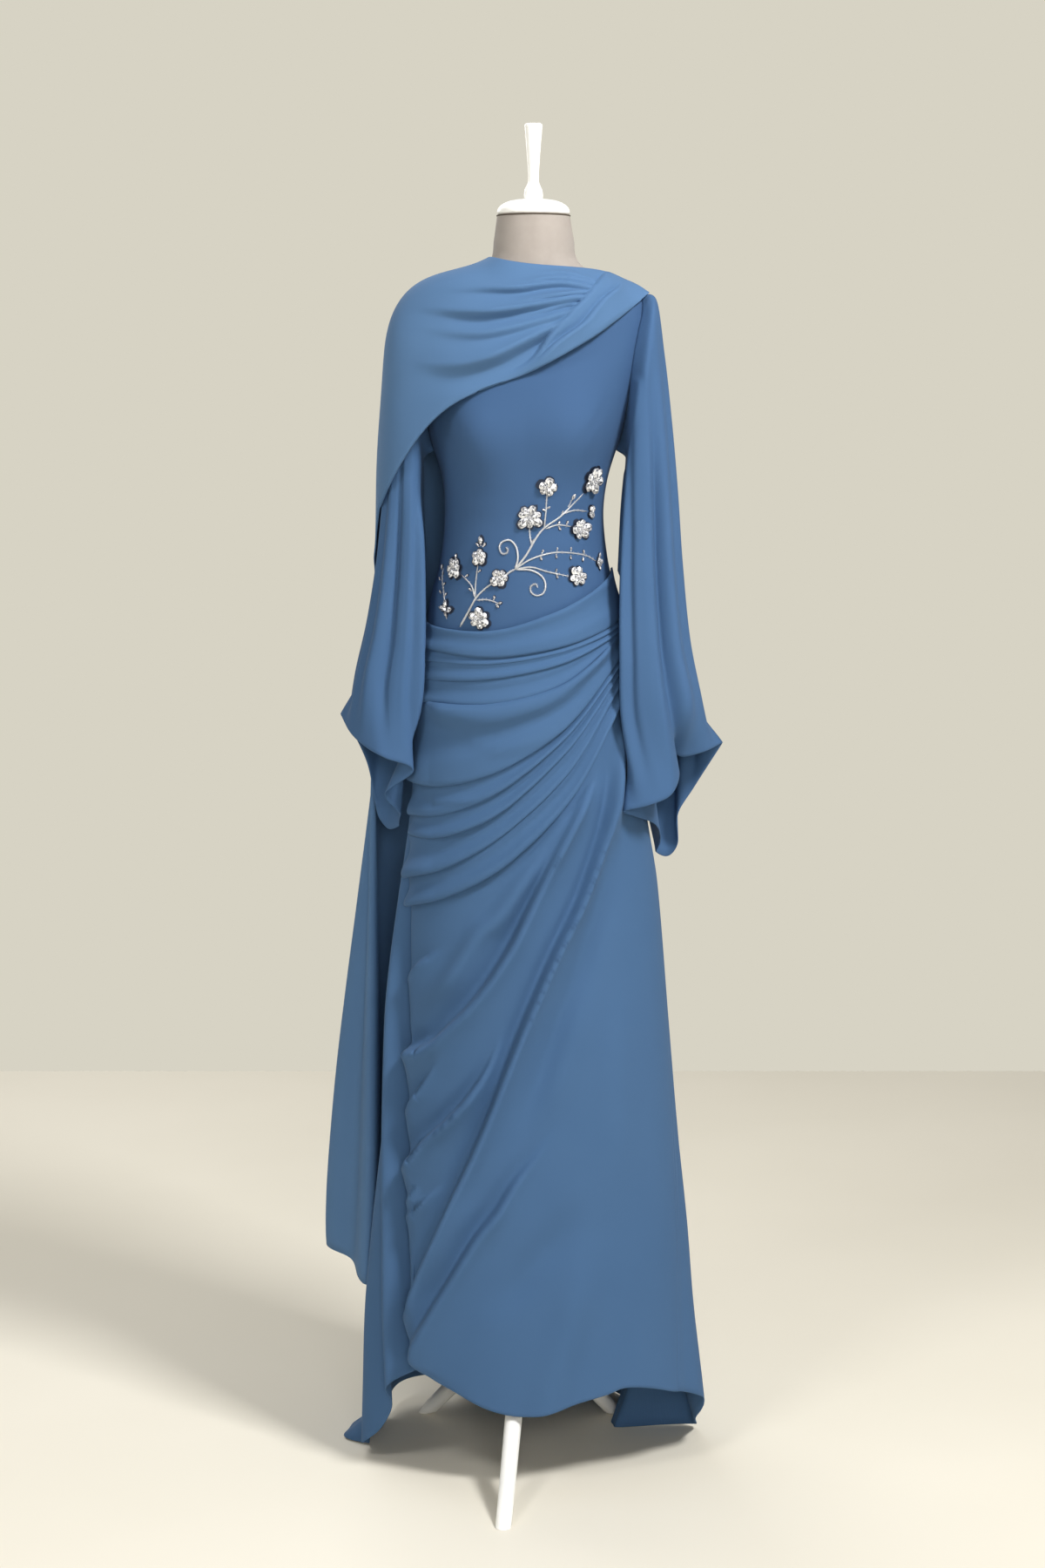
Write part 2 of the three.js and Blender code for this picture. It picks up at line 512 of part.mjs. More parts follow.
// Stand: pole, hub and three legs whose flat feet carry everything
function makeStand() {
  const poleLength = FORM_FOOT - HUB.high - 2 * SEAM;
  const pole = new THREE.CylinderGeometry(POLE_RADIUS, POLE_RADIUS, poleLength, 20).rotateX(Math.PI / 2);
  add("stand_pole", pole, WHITE).position.set(0, 0, HUB.high + SEAM + poleLength / 2);
  const hub = new THREE.CylinderGeometry(HUB.radius, HUB.radius, HUB.high - HUB.low, 24).rotateX(Math.PI / 2);
  add("stand_hub", hub, WHITE).position.set(0, 0, (HUB.high + HUB.low) / 2);
  for (const foot of FEET) {
    const length = Math.hypot(foot.x, foot.y);
    const out = V(foot.x / length, foot.y / length, 0);
    const side = V(-out.y, out.x, 0);
    const slope = Math.atan2(HUB.high - 26, length - HUB.radius);
    const rings = evenly(0, 1, 5).map((t) => {
      const reach = HUB.radius + SEAM + (length - HUB.radius - SEAM) * t;
      const height = (HUB.high - 26) * (1 - t);
      const r = LEG.top + (LEG.toe - LEG.top) * t;
      return evenly(0, 2 * Math.PI, LEG.sides).slice(0, -1).map((a) => {
        const p = out.clone().multiplyScalar(reach).addScaledVector(side, r * Math.cos(a));
        const stand = t === 1 ? 0 : r * Math.sin(a) * (t === 0 ? 1 : Math.cos(slope));
        const lean = r * Math.sin(a) * (t === 0 ? 0 : t === 1 ? 0.9 : Math.sin(slope));
        return p.addScaledVector(out, lean).add(V(0, 0, height + stand));
      });
    });
    add(foot.name, loft(rings), WHITE);
  }
}

const armholeReach = (z) => rad(Math.min(read(ARMHOLE, "z", "angle", z), 90));
const seamAngle = (z) => SEAM_HALF / read(FORM, "z", "front", z);

// Bodice: one front, and two backs that meet in a seam down the middle
function makeBodice() {
  const reach = armholeReach;
  const gap = seamAngle;
  const panel = (name, columns, place) => {
    const grid = (lift) =>
      BODICE_LEVELS.map((z) => evenly(0, 1, columns).map((s) => raised(torso, place(s, z), z, lift)));
    add(name, wall(grid(FIT + CLOTH), grid(FIT), false), CREPE);
  };
  panel("bodice_front", FRONT_COLUMNS, (s, z) => (2 * s - 1) * (reach(z) - gap(z)));
  panel("bodice_back_right", 7, (s, z) => Math.PI - gap(z) - s * (reach(z) - 2 * gap(z)));
  panel("bodice_back_left", 7, (s, z) => Math.PI + gap(z) + s * (reach(z) - 2 * gap(z)));
}

// Skirt: draped front and plain fluted back with its small train
function makeSkirt() {
  const hemAt = (theta) => read(HEM, "angle", "z", THREE.MathUtils.radToDeg(Math.atan2(Math.sin(theta), Math.cos(theta))));
  const panel = (name, rowsDown, shares, place) => {
    const grid = (lift) =>
      rowsDown.map((t) =>
        shares.map((s) => {
          let z = WAIST_SEAM;
          for (let pass = 0; pass < 8; pass++) z = WAIST_SEAM + (hemAt(place(s, z)) - WAIST_SEAM) * t;
          return raised(skirt, place(s, z), z, lift);
        }),
      );
    add(name, wall(grid(0), grid(-CLOTH), false, name === "skirt_front"), CREPE);
  };
  const left = (z) => -rad(read(SKIRT, "z", "seamLeft", z)) + SEAM_HALF / read(SKIRT, "z", "left", z);
  const right = (z) => rad(read(SKIRT, "z", "seamRight", z)) - SEAM_HALF / read(SKIRT, "z", "right", z);
  panel("skirt_front", evenly(0, 1, 30), evenly(0, 1, 20), (s, z) => left(z) + (right(z) - left(z)) * s);
  const start = (z) => rad(read(SKIRT, "z", "seamRight", z)) + SEAM_HALF / read(SKIRT, "z", "right", z);
  const end = (z) => 2 * Math.PI - rad(read(SKIRT, "z", "seamLeft", z)) - SEAM_HALF / read(SKIRT, "z", "left", z);
  panel("skirt_back", evenly(0, 1, 13), evenly(0, 1, 34), (s, z) => start(z) + (end(z) - start(z)) * s);
}

// Pleated band and hip drape, laid over the waist and gathered into the right hip
function makePleats(name, pleats, under, columns) {
  const lines = [];
  const heightAt = (k, part, s) => {
    const top = pleatHeight(pleats[k], s);
    return top + (pleatHeight(pleats[k + 1], s) - top) * part;
  };
  lines.push({ k: 0, part: 0, lift: 0 });
  for (let k = 0; k < pleats.length - 1; k++)
    for (const row of PLEAT_ROWS) lines.push({ k, part: row.at, lift: row.lift * pleats[k + 1].lift });
  const outer = lines.map(({ k, part, lift }) =>
    evenly(0, 1, columns).map((s) => {
      const z = heightAt(k, part, s);
      const left = Math.max(PLEAT_SPAN.left, 1.5 - read(SKIRT, "z", "seamLeft", Math.min(z, WAIST_SEAM)));
      const theta = rad(left + (PLEAT_SPAN.right - left) * s);
      const ends = 0.35 + 0.65 * Math.sqrt(Math.sin(Math.PI * clamp(s, 0.02, 0.98)));
      return raised(hull, theta, z, under + CLOTH + lift * ends);
    }),
  );
  add(name, wall(outer, shifted(outer, false, -1, -CLOTH), false), CREPE);
}

// Keeps a sleeve point clear of the bodice, skirt and pleats beside it
function besideBody(p, gap) {
  const column = (name) => read(FORM, "z", name, Math.max(p.z, WAIST_SEAM));
  const low = p.z < WAIST_SEAM;
  const part = (name) => read(SKIRT, "z", name, p.z);
  const shift = low ? 0 : column("shift");
  const half = low ? (p.x > 0 ? part("right") : part("left")) : column("half") + FIT + CLOTH;
  const depth = low ? (p.y < 0 ? part("front") : part("back")) : column(p.y < 0 ? "front" : "back") + FIT + CLOTH;
  const out = Math.hypot((p.x - shift) / half, p.y / depth);
  const radius = Math.hypot(p.x - shift, p.y) / out;
  const clear = gap + 13.5 * (1 - smooth(1200, 1260, p.z)) * smooth(760, 850, p.z);
  const least = 1 + clear / radius;
  if (out >= least) return p;
  return V(shift + ((p.x - shift) * least) / out, (p.y * least) / out, p.z);
}

// Point on a sleeve: angle from its outer side by way of the front, and share of the way to the cuff
function sleevePoint(name, angle, t) {
  const side = name === "right" ? 1 : -1;
  const rows = SLEEVES[name];
  const cosine = Math.cos(angle);
  const armhole = () => {
    const z = (SHOULDER_TIP + UNDERARM) / 2 + ((SHOULDER_TIP - UNDERARM) / 2) * cosine;
    const reach = armholeReach(z);
    const theta = side * (Math.sin(angle) >= 0 ? reach : Math.PI - reach);
    const p = bodice(theta, z);
    const middle = V(p.x, 0, (SHOULDER_TIP + UNDERARM) / 2);
    return p.lerp(middle, 0.015).add(V(side * 0.85, 0, 0));
  };
  const ring = (row) => {
    const square = cosine < 0 ? -Math.sqrt(-cosine) : cosine;
    const x = (row.outX + row.inX) / 2 + ((row.outX - row.inX) / 2) * square;
    const z = (row.outZ + row.inZ) / 2 + ((row.outZ - row.inZ) / 2) * cosine;
    const depth = Math.sin(angle) > 0 ? row.front : row.back;
    const fold = row.fold * Math.cos(SLEEVE_FOLDS.count * (angle + SLEEVE_FOLDS.turn));
    return V(side * (x + fold * cosine), -(depth + fold) * Math.sin(angle), z);
  };
  const cuff = () => {
    const at = (column) => read(CUFFS[name], "angle", column, THREE.MathUtils.radToDeg(angle));
    return V(side * at("x"), at("y"), at("z"));
  };
  const marks = [
    { t: 0, p: armhole() },
    ...rows.map((row) => ({ t: row.t, p: ring(row) })),
    { t: 1, p: cuff() },
  ].map(({ t: place, p }) => ({ t: place, x: p.x, y: p.y, z: p.z }));
  const p = V(read(marks, "t", "x", t), read(marks, "t", "y", t), read(marks, "t", "z", t));
  return t > 0.04 ? besideBody(p, 1.5) : p;
}

function makeSleeve(name) {
  const around = evenly(0, 2 * Math.PI, 24).slice(0, -1);
  const outer = evenly(0, 1, 13).map((t) => around.map((angle) => sleevePoint(name, angle, t)));
  const sign = name === "right" ? 1 : -1;
  add("sleeve_" + name, wall(outer, shifted(outer, true, sign, -CLOTH), true), CREPE);
  return outer;
}

// How far a point must move out to clear the pieces beneath, which are grids of points with outward directions
function wayOut(p, layers, gap) {
  const move = V(0, 0, 0);
  for (const { grid, away } of layers) {
    let best = Infinity;
    let near = null;
    let out = null;
    grid.forEach((line, i) =>
      line.forEach((q, j) => {
        const d = p.distanceToSquared(q);
        if (d < best) [best, near, out] = [d, q, away[i][j]];
      }),
    );
    const from = p.clone().add(move).sub(near);
    const height = from.dot(out);
    const aside = from.addScaledVector(out, -height).length();
    if (height < gap && aside < 30 && height > -70) move.addScaledVector(out, gap - height);
  }
  return move;
}

// Seats a point at a small distance off a grid of points that it is sewn to
function seat(p, { grid, away }, gap) {
  let best = Infinity;
  let move = V(0, 0, 0);
  grid.forEach((line, i) =>
    line.forEach((q, j) => {
      const d = p.distanceToSquared(q);
      const height = p.clone().sub(q).dot(away[i][j]);
      if (d < best) [best, move] = [d, away[i][j].clone().multiplyScalar(gap - height)];
    }),
  );
  p.add(move);
}

// Clears a grid of points, and then the middles of its edges and meshes too
function clearOf(points, layers, passes) {
  const gapAt = (i) => (i < SHAWL_CLEAR.until ? SHAWL_CLEAR.gathers : SHAWL_CLEAR.rest);
  points.forEach((line, i) => line.forEach((p) => p.add(wayOut(p, layers, gapAt(i)))));
  const middle = (corners) => corners.reduce((sum, p) => sum.add(p), V(0, 0, 0)).divideScalar(corners.length);
  for (let pass = 0; pass < passes; pass++)
    for (let i = 0; i < points.length - 1; i++)
      for (let j = 0; j < points[0].length - 1; j++) {
        const [a, b, c, d] = [points[i][j], points[i][j + 1], points[i + 1][j + 1], points[i + 1][j]];
        for (const corners of [[a, c], [a, b], [a, d], [b, c], [d, c]]) {
          const move = wayOut(middle(corners), layers, gapAt(i) * 0.7);
          for (const p of corners) p.add(move);
        }
      }
}

function softened(points) {
  const rows = points.length;
  const cols = points[0].length;
  return points.map((line, i) =>
    line.map((p, j) => {
      if (i === 0 || i === rows - 1 || j === 0 || j === cols - 1) return p.clone();
      const mean = V(0, 0, 0);
      for (const q of [points[i - 1][j], points[i + 1][j], line[j - 1], line[j + 1]]) mean.add(q);
      return p.clone().lerp(mean.divideScalar(4), 0.5);
    }),
  );
}

// Shawl: gathered on the right shoulder, across the chest, over the left shoulder and down behind as a tail
function makeShawl(layers) {
  const rowsAlong = [...evenly(0, 0.5, 20), ...evenly(0.5, 1, 15).slice(1)];
  let grid = rowsAlong.map((s) => {
    const point = (mark) => V(...["x", "y", "z"].map((axis) => read(SHAWL, "s", mark + axis, s)));
    const marks = ["n", "p", "q", "e"].map((mark, i) => ({ v: i / 3, ...point(mark) }));
    return evenly(0, 1, 14).map((v) => V(...["x", "y", "z"].map((axis) => read(marks, "v", axis, v))));
  });
  clearOf(grid, layers, 0);
  grid = softened(softened(grid));
  clearOf(grid, layers, 3);
  grid[0].slice(0, 8).forEach((p) => seat(p, layers[1], SEAM));
  const away = squareTo(grid, false, -1);
  const folded = grid.map((line, i) =>
    line.map((p, j) => {
      const depth = read(SHAWL_FOLDS, "s", "depth", rowsAlong[i]);
      const v = j / (line.length - 1);
      const wave = (1 - Math.cos(2 * Math.PI * SHAWL_FOLD_COUNT * v)) / 2;
      return p.clone().addScaledVector(away[i][j], depth * wave);
    }),
  );
  add("shawl", wall(shifted(folded, false, -1, CLOTH), folded, false), CREPE);
}

// A place on the flat facets of the bodice's front, given across and up, moved out by a lift
function onBodice(x, z, lift) {
  const half = read(FORM, "z", "half", z) + FIT + CLOTH;
  const theta = Math.asin(clamp((x - read(FORM, "z", "shift", z)) / half, -1, 1));
  const reach = (level) => armholeReach(level) - seamAngle(level);
  const column = ((theta / reach(z) + 1) / 2) * FRONT_COLUMNS;
  const j = Math.floor(column);
  const i = Math.max(BODICE_LEVELS.findIndex((level) => level > z), 1);
  const [low, high] = BODICE_LEVELS.slice(i - 1, i + 1);
  const corner = (level, k) => raised(torso, ((2 * k) / FRONT_COLUMNS - 1) * reach(level), level, FIT + CLOTH);
  const edge = (level) => corner(level, j).lerp(corner(level, j + 1), column - j);
  const place = edge(low).lerp(edge(high), (z - low) / (high - low));
  return place.addScaledVector(facing(torso, theta, z), lift);
}

function makeFlower({ name, x, z, r, petals }) {
  const steps = petals * 3;
  const ring = (share, lift) =>
    evenly(0, 2 * Math.PI, steps).slice(0, -1).map((a) => {
      const valley = Math.cos(petals * a) > 0.9;
      const reach = r * share * (valley && share > 0.5 ? FLOWER.notch : 1);
      return onBodice(x + reach * Math.sin(a), z + reach * Math.cos(a), lift);
    });
  const { lip, rise } = FLOWER;
  const lift = FLOWER.lift + FLOWER.slope * r;
  const rings = [ring(1, lift), ring(1, lift + lip), ring(0.45, lift + rise)];
  add(name, loft(rings, [onBodice(x, z, lift - 0.1), onBodice(x, z, lift + rise * 0.6)]), SILVER);
}

function toManifold(geometry) {
  const bare = geometry.clone();
  bare.deleteAttribute("normal");
  const merged = mergeVertices(bare, 1e-4);
  const vertProperties = merged.attributes.position.array;
  const triVerts = new Uint32Array(merged.index.array);
  return new wasm.Manifold(new wasm.Mesh({ numProp: 3, vertProperties, triVerts }));
}

function fromManifold(shape) {
  const mesh = shape.getMesh();
  const geometry = new THREE.BufferGeometry();
  geometry.setAttribute("position", new THREE.Float32BufferAttribute(mesh.vertProperties, 3));
  geometry.setIndex([...mesh.triVerts]);
  geometry.computeVertexNormals();
  return geometry;
}

function makeSpray(name, stems) {
  const cords = stems.map(({ x0, z0, x1, z1, x2, z2 }) => {
    const rings = evenly(0, 1, STEM.steps).map((t) => {
      const x = (1 - t) ** 2 * x0 + 2 * t * (1 - t) * x1 + t * t * x2;
      const z = (1 - t) ** 2 * z0 + 2 * t * (1 - t) * z1 + t * t * z2;
      const along = new THREE.Vector2((1 - t) * (x1 - x0) + t * (x2 - x1), (1 - t) * (z1 - z0) + t * (z2 - z1));
      const side = along.normalize().multiplyScalar(STEM.width / 2);
      const corner = (across, lift) => onBodice(x + side.y * across, z - side.x * across, lift);
      const top = STEM.lift + STEM.rise;
      return [corner(-1, STEM.lift), corner(1, STEM.lift), corner(0.7, top), corner(-0.7, top)];
    });
    return toManifold(loft(rings));
  });
  add(name, fromManifold(cords.reduce((all, cord) => all.add(cord))), SILVER);
}

makeForm();
makeStand();
makeBodice();
makeSkirt();
makePleats("waist_band", BAND_PLEATS, 1, 18);
makePleats("hip_drape", DRAPE_PLEATS, 0.8, 20);
const rightSleeve = makeSleeve("right");
const leftSleeve = makeSleeve("left");

// What lies under the shawl, as grids with outward directions
const bodiceLayer = BODICE_LEVELS.map((z) => evenly(0, 2 * Math.PI, 60).map((theta) => bodice(theta, z)));
const skirtLayer = evenly(60, WAIST_SEAM, 30).map((z) => evenly(0, 2 * Math.PI, 90).map((theta) => skirt(theta, z)));
const neckLayer = evenly(1612, 1684, 6).map((z) => evenly(0, 2 * Math.PI, 40).map((theta) => torso(theta, z)));
makeShawl([
  { grid: neckLayer, away: squareTo(neckLayer, false, 1) },
  { grid: bodiceLayer, away: squareTo(bodiceLayer, false, 1) },
  { grid: rightSleeve, away: squareTo(rightSleeve, true, 1) },
  { grid: leftSleeve, away: squareTo(leftSleeve, true, -1) },
  { grid: skirtLayer, away: squareTo(skirtLayer, false, 1) },
]);
for (const flower of FLOWERS) makeFlower(flower);
for (const [name, stems] of Object.entries(SPRAYS)) makeSpray(name, stems);

// The part's frame has its origin on the floor, under the middle of the whole
const box = new THREE.Box3().setFromObject(dress);
const centre = box.getCenter(V(0, 0, 0));
dress.position.set(-centre.x, -centre.y, -box.min.z);

export default dress;
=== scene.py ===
import math
import bmesh
import bpy
import numpy as np
from mathutils import Matrix, Vector
from mathutils.bvhtree import BVHTree


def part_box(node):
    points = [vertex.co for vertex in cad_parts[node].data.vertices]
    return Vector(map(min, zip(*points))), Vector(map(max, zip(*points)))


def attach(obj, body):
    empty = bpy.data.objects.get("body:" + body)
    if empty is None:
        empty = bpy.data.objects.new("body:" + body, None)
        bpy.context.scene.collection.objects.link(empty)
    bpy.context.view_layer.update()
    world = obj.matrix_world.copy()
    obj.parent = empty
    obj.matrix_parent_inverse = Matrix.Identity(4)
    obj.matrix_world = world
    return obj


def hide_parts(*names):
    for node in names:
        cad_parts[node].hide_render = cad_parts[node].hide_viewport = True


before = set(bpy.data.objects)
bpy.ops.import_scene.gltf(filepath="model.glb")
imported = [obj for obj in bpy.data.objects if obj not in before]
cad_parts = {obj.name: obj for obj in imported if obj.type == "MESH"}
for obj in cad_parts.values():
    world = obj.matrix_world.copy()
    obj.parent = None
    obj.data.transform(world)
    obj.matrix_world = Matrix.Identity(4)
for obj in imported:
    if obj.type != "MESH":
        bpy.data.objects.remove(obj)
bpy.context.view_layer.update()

# The room: a plain pale floor with pale air round it, and a camera that looks slightly down at the dress.
# Four square panels give soft light: a strong one at the upper right, weaker ones left, in front and behind.
# Sizes in this section are in metres, degrees and watts.
CAMERA = {"away": 3.9, "height": 1.45, "down": 7.52, "lens": 66.66, "film": 36}
POLE_FOOT = 0.1903  # how high the foot of the stand's pole is
pole_low, pole_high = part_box("stand_pole")
AXIS = np.array([(pole_low[0] + pole_high[0]) / 2, (pole_low[1] + pole_high[1]) / 2,
                 pole_low[2] - POLE_FOOT])
scene = bpy.context.scene
scene.view_settings.view_transform = "Standard"


def keep(thing):
    scene.collection.objects.link(thing)
    return thing


lens = bpy.data.cameras.new("camera")
lens.sensor_fit, lens.lens = "VERTICAL", CAMERA["lens"]
lens.sensor_width = lens.sensor_height = CAMERA["film"]
camera = keep(bpy.data.objects.new("camera", lens))
camera.location = (AXIS[0], AXIS[1] - CAMERA["away"], CAMERA["height"])
camera.rotation_euler = (math.radians(90 - CAMERA["down"]), 0, 0)
scene.camera = camera

# The air is as pale as a wall up to a little above eye height, and dimmer overhead
AIR_STRENGTH = 0.85
AIR_TONES = [(0.16, (0.80, 0.765, 0.65)), (0.36, (0.26, 0.25, 0.225))]
air = bpy.data.worlds.new("air")
scene.world = air
air.use_nodes = True
air_shader = air.node_tree.nodes["Background"]
air_shader.inputs["Strength"].default_value = AIR_STRENGTH
way = air.node_tree.nodes.new("ShaderNodeTexCoord").outputs["Generated"]
parts = air.node_tree.nodes.new("ShaderNodeSeparateXYZ")
fade = air.node_tree.nodes.new("ShaderNodeValToRGB")
air.node_tree.links.new(way, parts.inputs[0])
air.node_tree.links.new(parts.outputs["Z"], fade.inputs["Fac"])
air.node_tree.links.new(fade.outputs[0], air_shader.inputs["Color"])
for stop, (at, colour) in zip(fade.color_ramp.elements, AIR_TONES):
    stop.position, stop.color = at, (*colour, 1)

# Light panels: name, place from the foot of the pole, width and power. All face the middle of the dress
PANELS = [
    ("panel_right", (1.7, -1.8, 3.6), 0.7, 132),
    ("panel_left", (-1.5, -2.2, 3.5), 0.8, 30),
    ("panel_front", (0.3, -4.6, 1.9), 1.2, 48),
    ("panel_behind", (-1.6, 2.6, 3.0), 2.6, 52),
]
DRESS_MIDDLE = 0.95
for panel_name, place, width, power in PANELS:
    lamp = bpy.data.lights.new(panel_name, "AREA")
    lamp.shape, lamp.size, lamp.energy, lamp.color = "SQUARE", width, power, (1, 1, 1)
    panel = keep(bpy.data.objects.new(panel_name, lamp))
    panel.location = Vector(place) + Vector(AXIS)
    aim = Vector(AXIS) + Vector((0, 0, DRESS_MIDDLE)) - panel.location
    panel.rotation_euler = aim.to_track_quat("-Z", "Y").to_euler()


class Shade:
    """A value inside a finish. It can be written in sums, and each step is one Math node."""

    def __init__(self, finish, socket):
        self.finish, self.socket = finish, socket

    def step(self, operation, first, second):
        made = self.finish.node("ShaderNodeMath", {"operation": operation}, {0: first, 1: second})
        return Shade(self.finish, made.outputs[0])

    def __add__(self, other):
        return self.step("ADD", self, other)

    def __rsub__(self, other):
        return self.step("SUBTRACT", other, self)

    def __mul__(self, other):
        return self.step("MULTIPLY", self, other)

    def __pow__(self, other):
        return self.step("POWER", self, other)

    __radd__, __rmul__ = __add__, __mul__


class Finish:
    """One material: its shader's fixed sockets are given by name, and the rest is fed by nodes."""

    def __init__(self, name, **fixed):
        self.material = bpy.data.materials.new(name)
        self.material.use_nodes = True
        self.tree = self.material.node_tree
        self.shader = self.tree.nodes["Principled BSDF"]
        for socket, amount in fixed.items():
            self.shader.inputs[socket.replace("_", " ")].default_value = amount

    def node(self, kind, settings=None, inputs=None):
        made = self.tree.nodes.new(kind)
        for setting, choice in (settings or {}).items():
            if setting == "stops":
                ramp = made.color_ramp
                for at, colour in choice[1:-1]:
                    ramp.elements.new(at).color = (*colour, 1)
                for stop, (at, colour) in ((ramp.elements[0], choice[0]), (ramp.elements[-1], choice[-1])):
                    stop.position, stop.color = at, (*colour, 1)
            else:
                setattr(made, setting, choice)
        for socket, amount in (inputs or {}).items():
            self.link(amount, made.inputs[socket])
        return made

    def link(self, amount, socket):
        if isinstance(amount, Shade):
            self.tree.links.new(amount.socket, socket)
        elif isinstance(amount, bpy.types.NodeSocket):
            self.tree.links.new(amount, socket)
        else:
            socket.default_value = amount

    def feed(self, **sockets):
        for socket, amount in sockets.items():
            self.link(amount, self.shader.inputs[socket.replace("_", " ")])

    def coordinate(self, kind):
        return self.node("ShaderNodeTexCoord").outputs[kind]

    def noise(self, where, scale, detail=2.0, roughness=0.5):
        made = self.node("ShaderNodeTexNoise", {}, {"Vector": where, "Scale": scale, "Detail": detail,
                                                    "Roughness": roughness})
        return Shade(self, made.outputs[0])

    def between(self, factor, first, second):
        made = self.node("ShaderNodeMix", {"data_type": "RGBA"}, {0: factor, 6: first, 7: second})
        return made.outputs[2]

    def relief(self, height, distance, strength):
        inputs = {"Height": height, "Distance": distance, "Strength": strength}
        return self.node("ShaderNodeBump", {}, inputs).outputs[0]


def tone(red, green, blue):
    """A colour given by its screen values, from 0 to 255."""
    return (*(((c / 255 + 0.055) / 1.055) ** 2.4 if c > 10 else c / 3295 for c in (red, green, blue)), 1.0)


def floor_finish():
    finish = Finish("floor_plaster", Roughness=0.6)
    where = finish.coordinate("Object")
    cloud = finish.noise(where, 1.3, 3.0)
    finish.feed(Base_Color=finish.between(cloud, tone(230, 224, 208), tone(242, 236, 222)))
    finish.feed(Normal=finish.relief(finish.noise(where, 160.0, 3.0), 0.0006, 0.25))
    return finish.material


FLOOR_HALF, FLOOR_FRONT, FLOOR_BACK = 6, -6, 2.3
floor_corners = [(-FLOOR_HALF, FLOOR_FRONT, 0), (FLOOR_HALF, FLOOR_FRONT, 0), (FLOOR_HALF, FLOOR_BACK, 0),
                 (-FLOOR_HALF, FLOOR_BACK, 0)]
floor_mesh = bpy.data.meshes.new("floor")
floor_mesh.from_pydata(floor_corners, [], [(0, 1, 2, 3)])
floor = keep(bpy.data.objects.new("floor", floor_mesh))
floor_mesh.materials.append(floor_finish())


# The stand: a round pole in a hub on three splayed legs, all steel tube with thick white paint.
# The legs are welded to the hub and end in flat feet. Sizes from here on are in millimetres, and left and
# right are as seen from the front.
GAP = 0.3  # clearance between parts that touch
POLE_RADIUS, POLE_LENGTH = 12, 714
HUB_RADIUS, HUB_LOW, HUB_HIGH = 27, 138, 190
LEG = {"drop": 26, "radius": 12.5, "taper": 2}  # its top's distance below the hub's, radius there, and taper
FEET = {"front": (-25, -292), "left": (-140, 145), "right": (135, 140)}


def ring_mesh(rings, ends=(True, True)):
    """Points and faces of a body that runs through rings of points, closed by a fan at each end."""
    rings = np.asarray(rings, float)
    count, sides = rings.shape[:2]
    points = list(rings.reshape(-1, 3))
    faces = []
    for i in range(count - 1):
        for j in range(sides):
            k = (j + 1) % sides
            faces.append((i * sides + j, i * sides + k, (i + 1) * sides + k, (i + 1) * sides + j))
    for ring, wanted, turned in ((0, ends[0], True), (count - 1, ends[1], False)):
        if wanted:
            points.append(rings[ring].mean(axis=0))
            for j in range(sides):
                a, b = ring * sides + j, ring * sides + (j + 1) % sides
                faces.append((b, a, len(points) - 1) if turned else (a, b, len(points) - 1))
    return points, faces


def joined(parts):
    """Points and faces of several bodies, as one."""
    points, faces = [], []
    for some, others in parts:
        start = len(points)
        points.extend(some)
        faces.extend(tuple(start + k for k in face) for face in others)
    return points, faces


def outward(mesh):
    """Turns a closed mesh's faces out."""
    work = bmesh.new()
    work.from_mesh(mesh)
    bmesh.ops.recalc_face_normals(work, faces=work.faces)
    work.to_mesh(mesh)
    work.free()


def piece(name, points, faces, material, recalculate=True):
    """A piece of the object from points in millimetres, counted from the foot of the pole."""
    mesh = bpy.data.meshes.new(name)
    mesh.from_pydata((np.asarray(points, float) / 1000 + AXIS).tolist(), [], faces)
    mesh.validate()
    if recalculate:
        outward(mesh)
    mesh.polygons.foreach_set("use_smooth", [True] * len(mesh.polygons))
    mesh.materials.append(material)
    mesh.update()
    return keep(bpy.data.objects.new(name, mesh))


def eased(thing, width, angle=40):
    """Rounds the edges of a piece that are sharper than an angle."""
    bevel = thing.modifiers.new("rounding", "BEVEL")
    bevel.width, bevel.segments, bevel.limit_method = width / 1000, 2, "ANGLE"
    bevel.angle_limit = math.radians(angle)
    bpy.context.view_layer.update()
    solid = bpy.data.meshes.new_from_object(thing.evaluated_get(bpy.context.evaluated_depsgraph_get()))
    solid.name = thing.data.name
    thing.modifiers.clear()
    thing.data = solid
    return thing


def turned(profile, x, y, base, sides=64):
    """Rings of a turned part: its profile gives radius and height."""
    angles = np.linspace(0, 2 * math.pi, sides, endpoint=False)
    return [np.stack([x + r * np.cos(angles), y + r * np.sin(angles), np.full(sides, base + h)], -1)
            for r, h in profile]


def paint_finish():
    finish = Finish("white_paint", Roughness=0.32, Coat_Weight=0.35, Coat_Roughness=0.12)
    where = finish.coordinate("Object")
    dust = finish.noise(where, 9.0, 3.0)
    peel = finish.noise(where, 420.0, 2.0)
    scuff = finish.noise(where, 60.0, 5.0, 0.7) ** 3
    finish.feed(Base_Color=finish.between(dust * 0.5 + scuff * 0.5,
                                           tone(253, 253, 251), tone(240, 238, 232)))
    finish.feed(Roughness=0.26 + 0.18 * dust)
    finish.feed(Normal=finish.relief(peel, 0.0002, 0.35))
    return finish.material


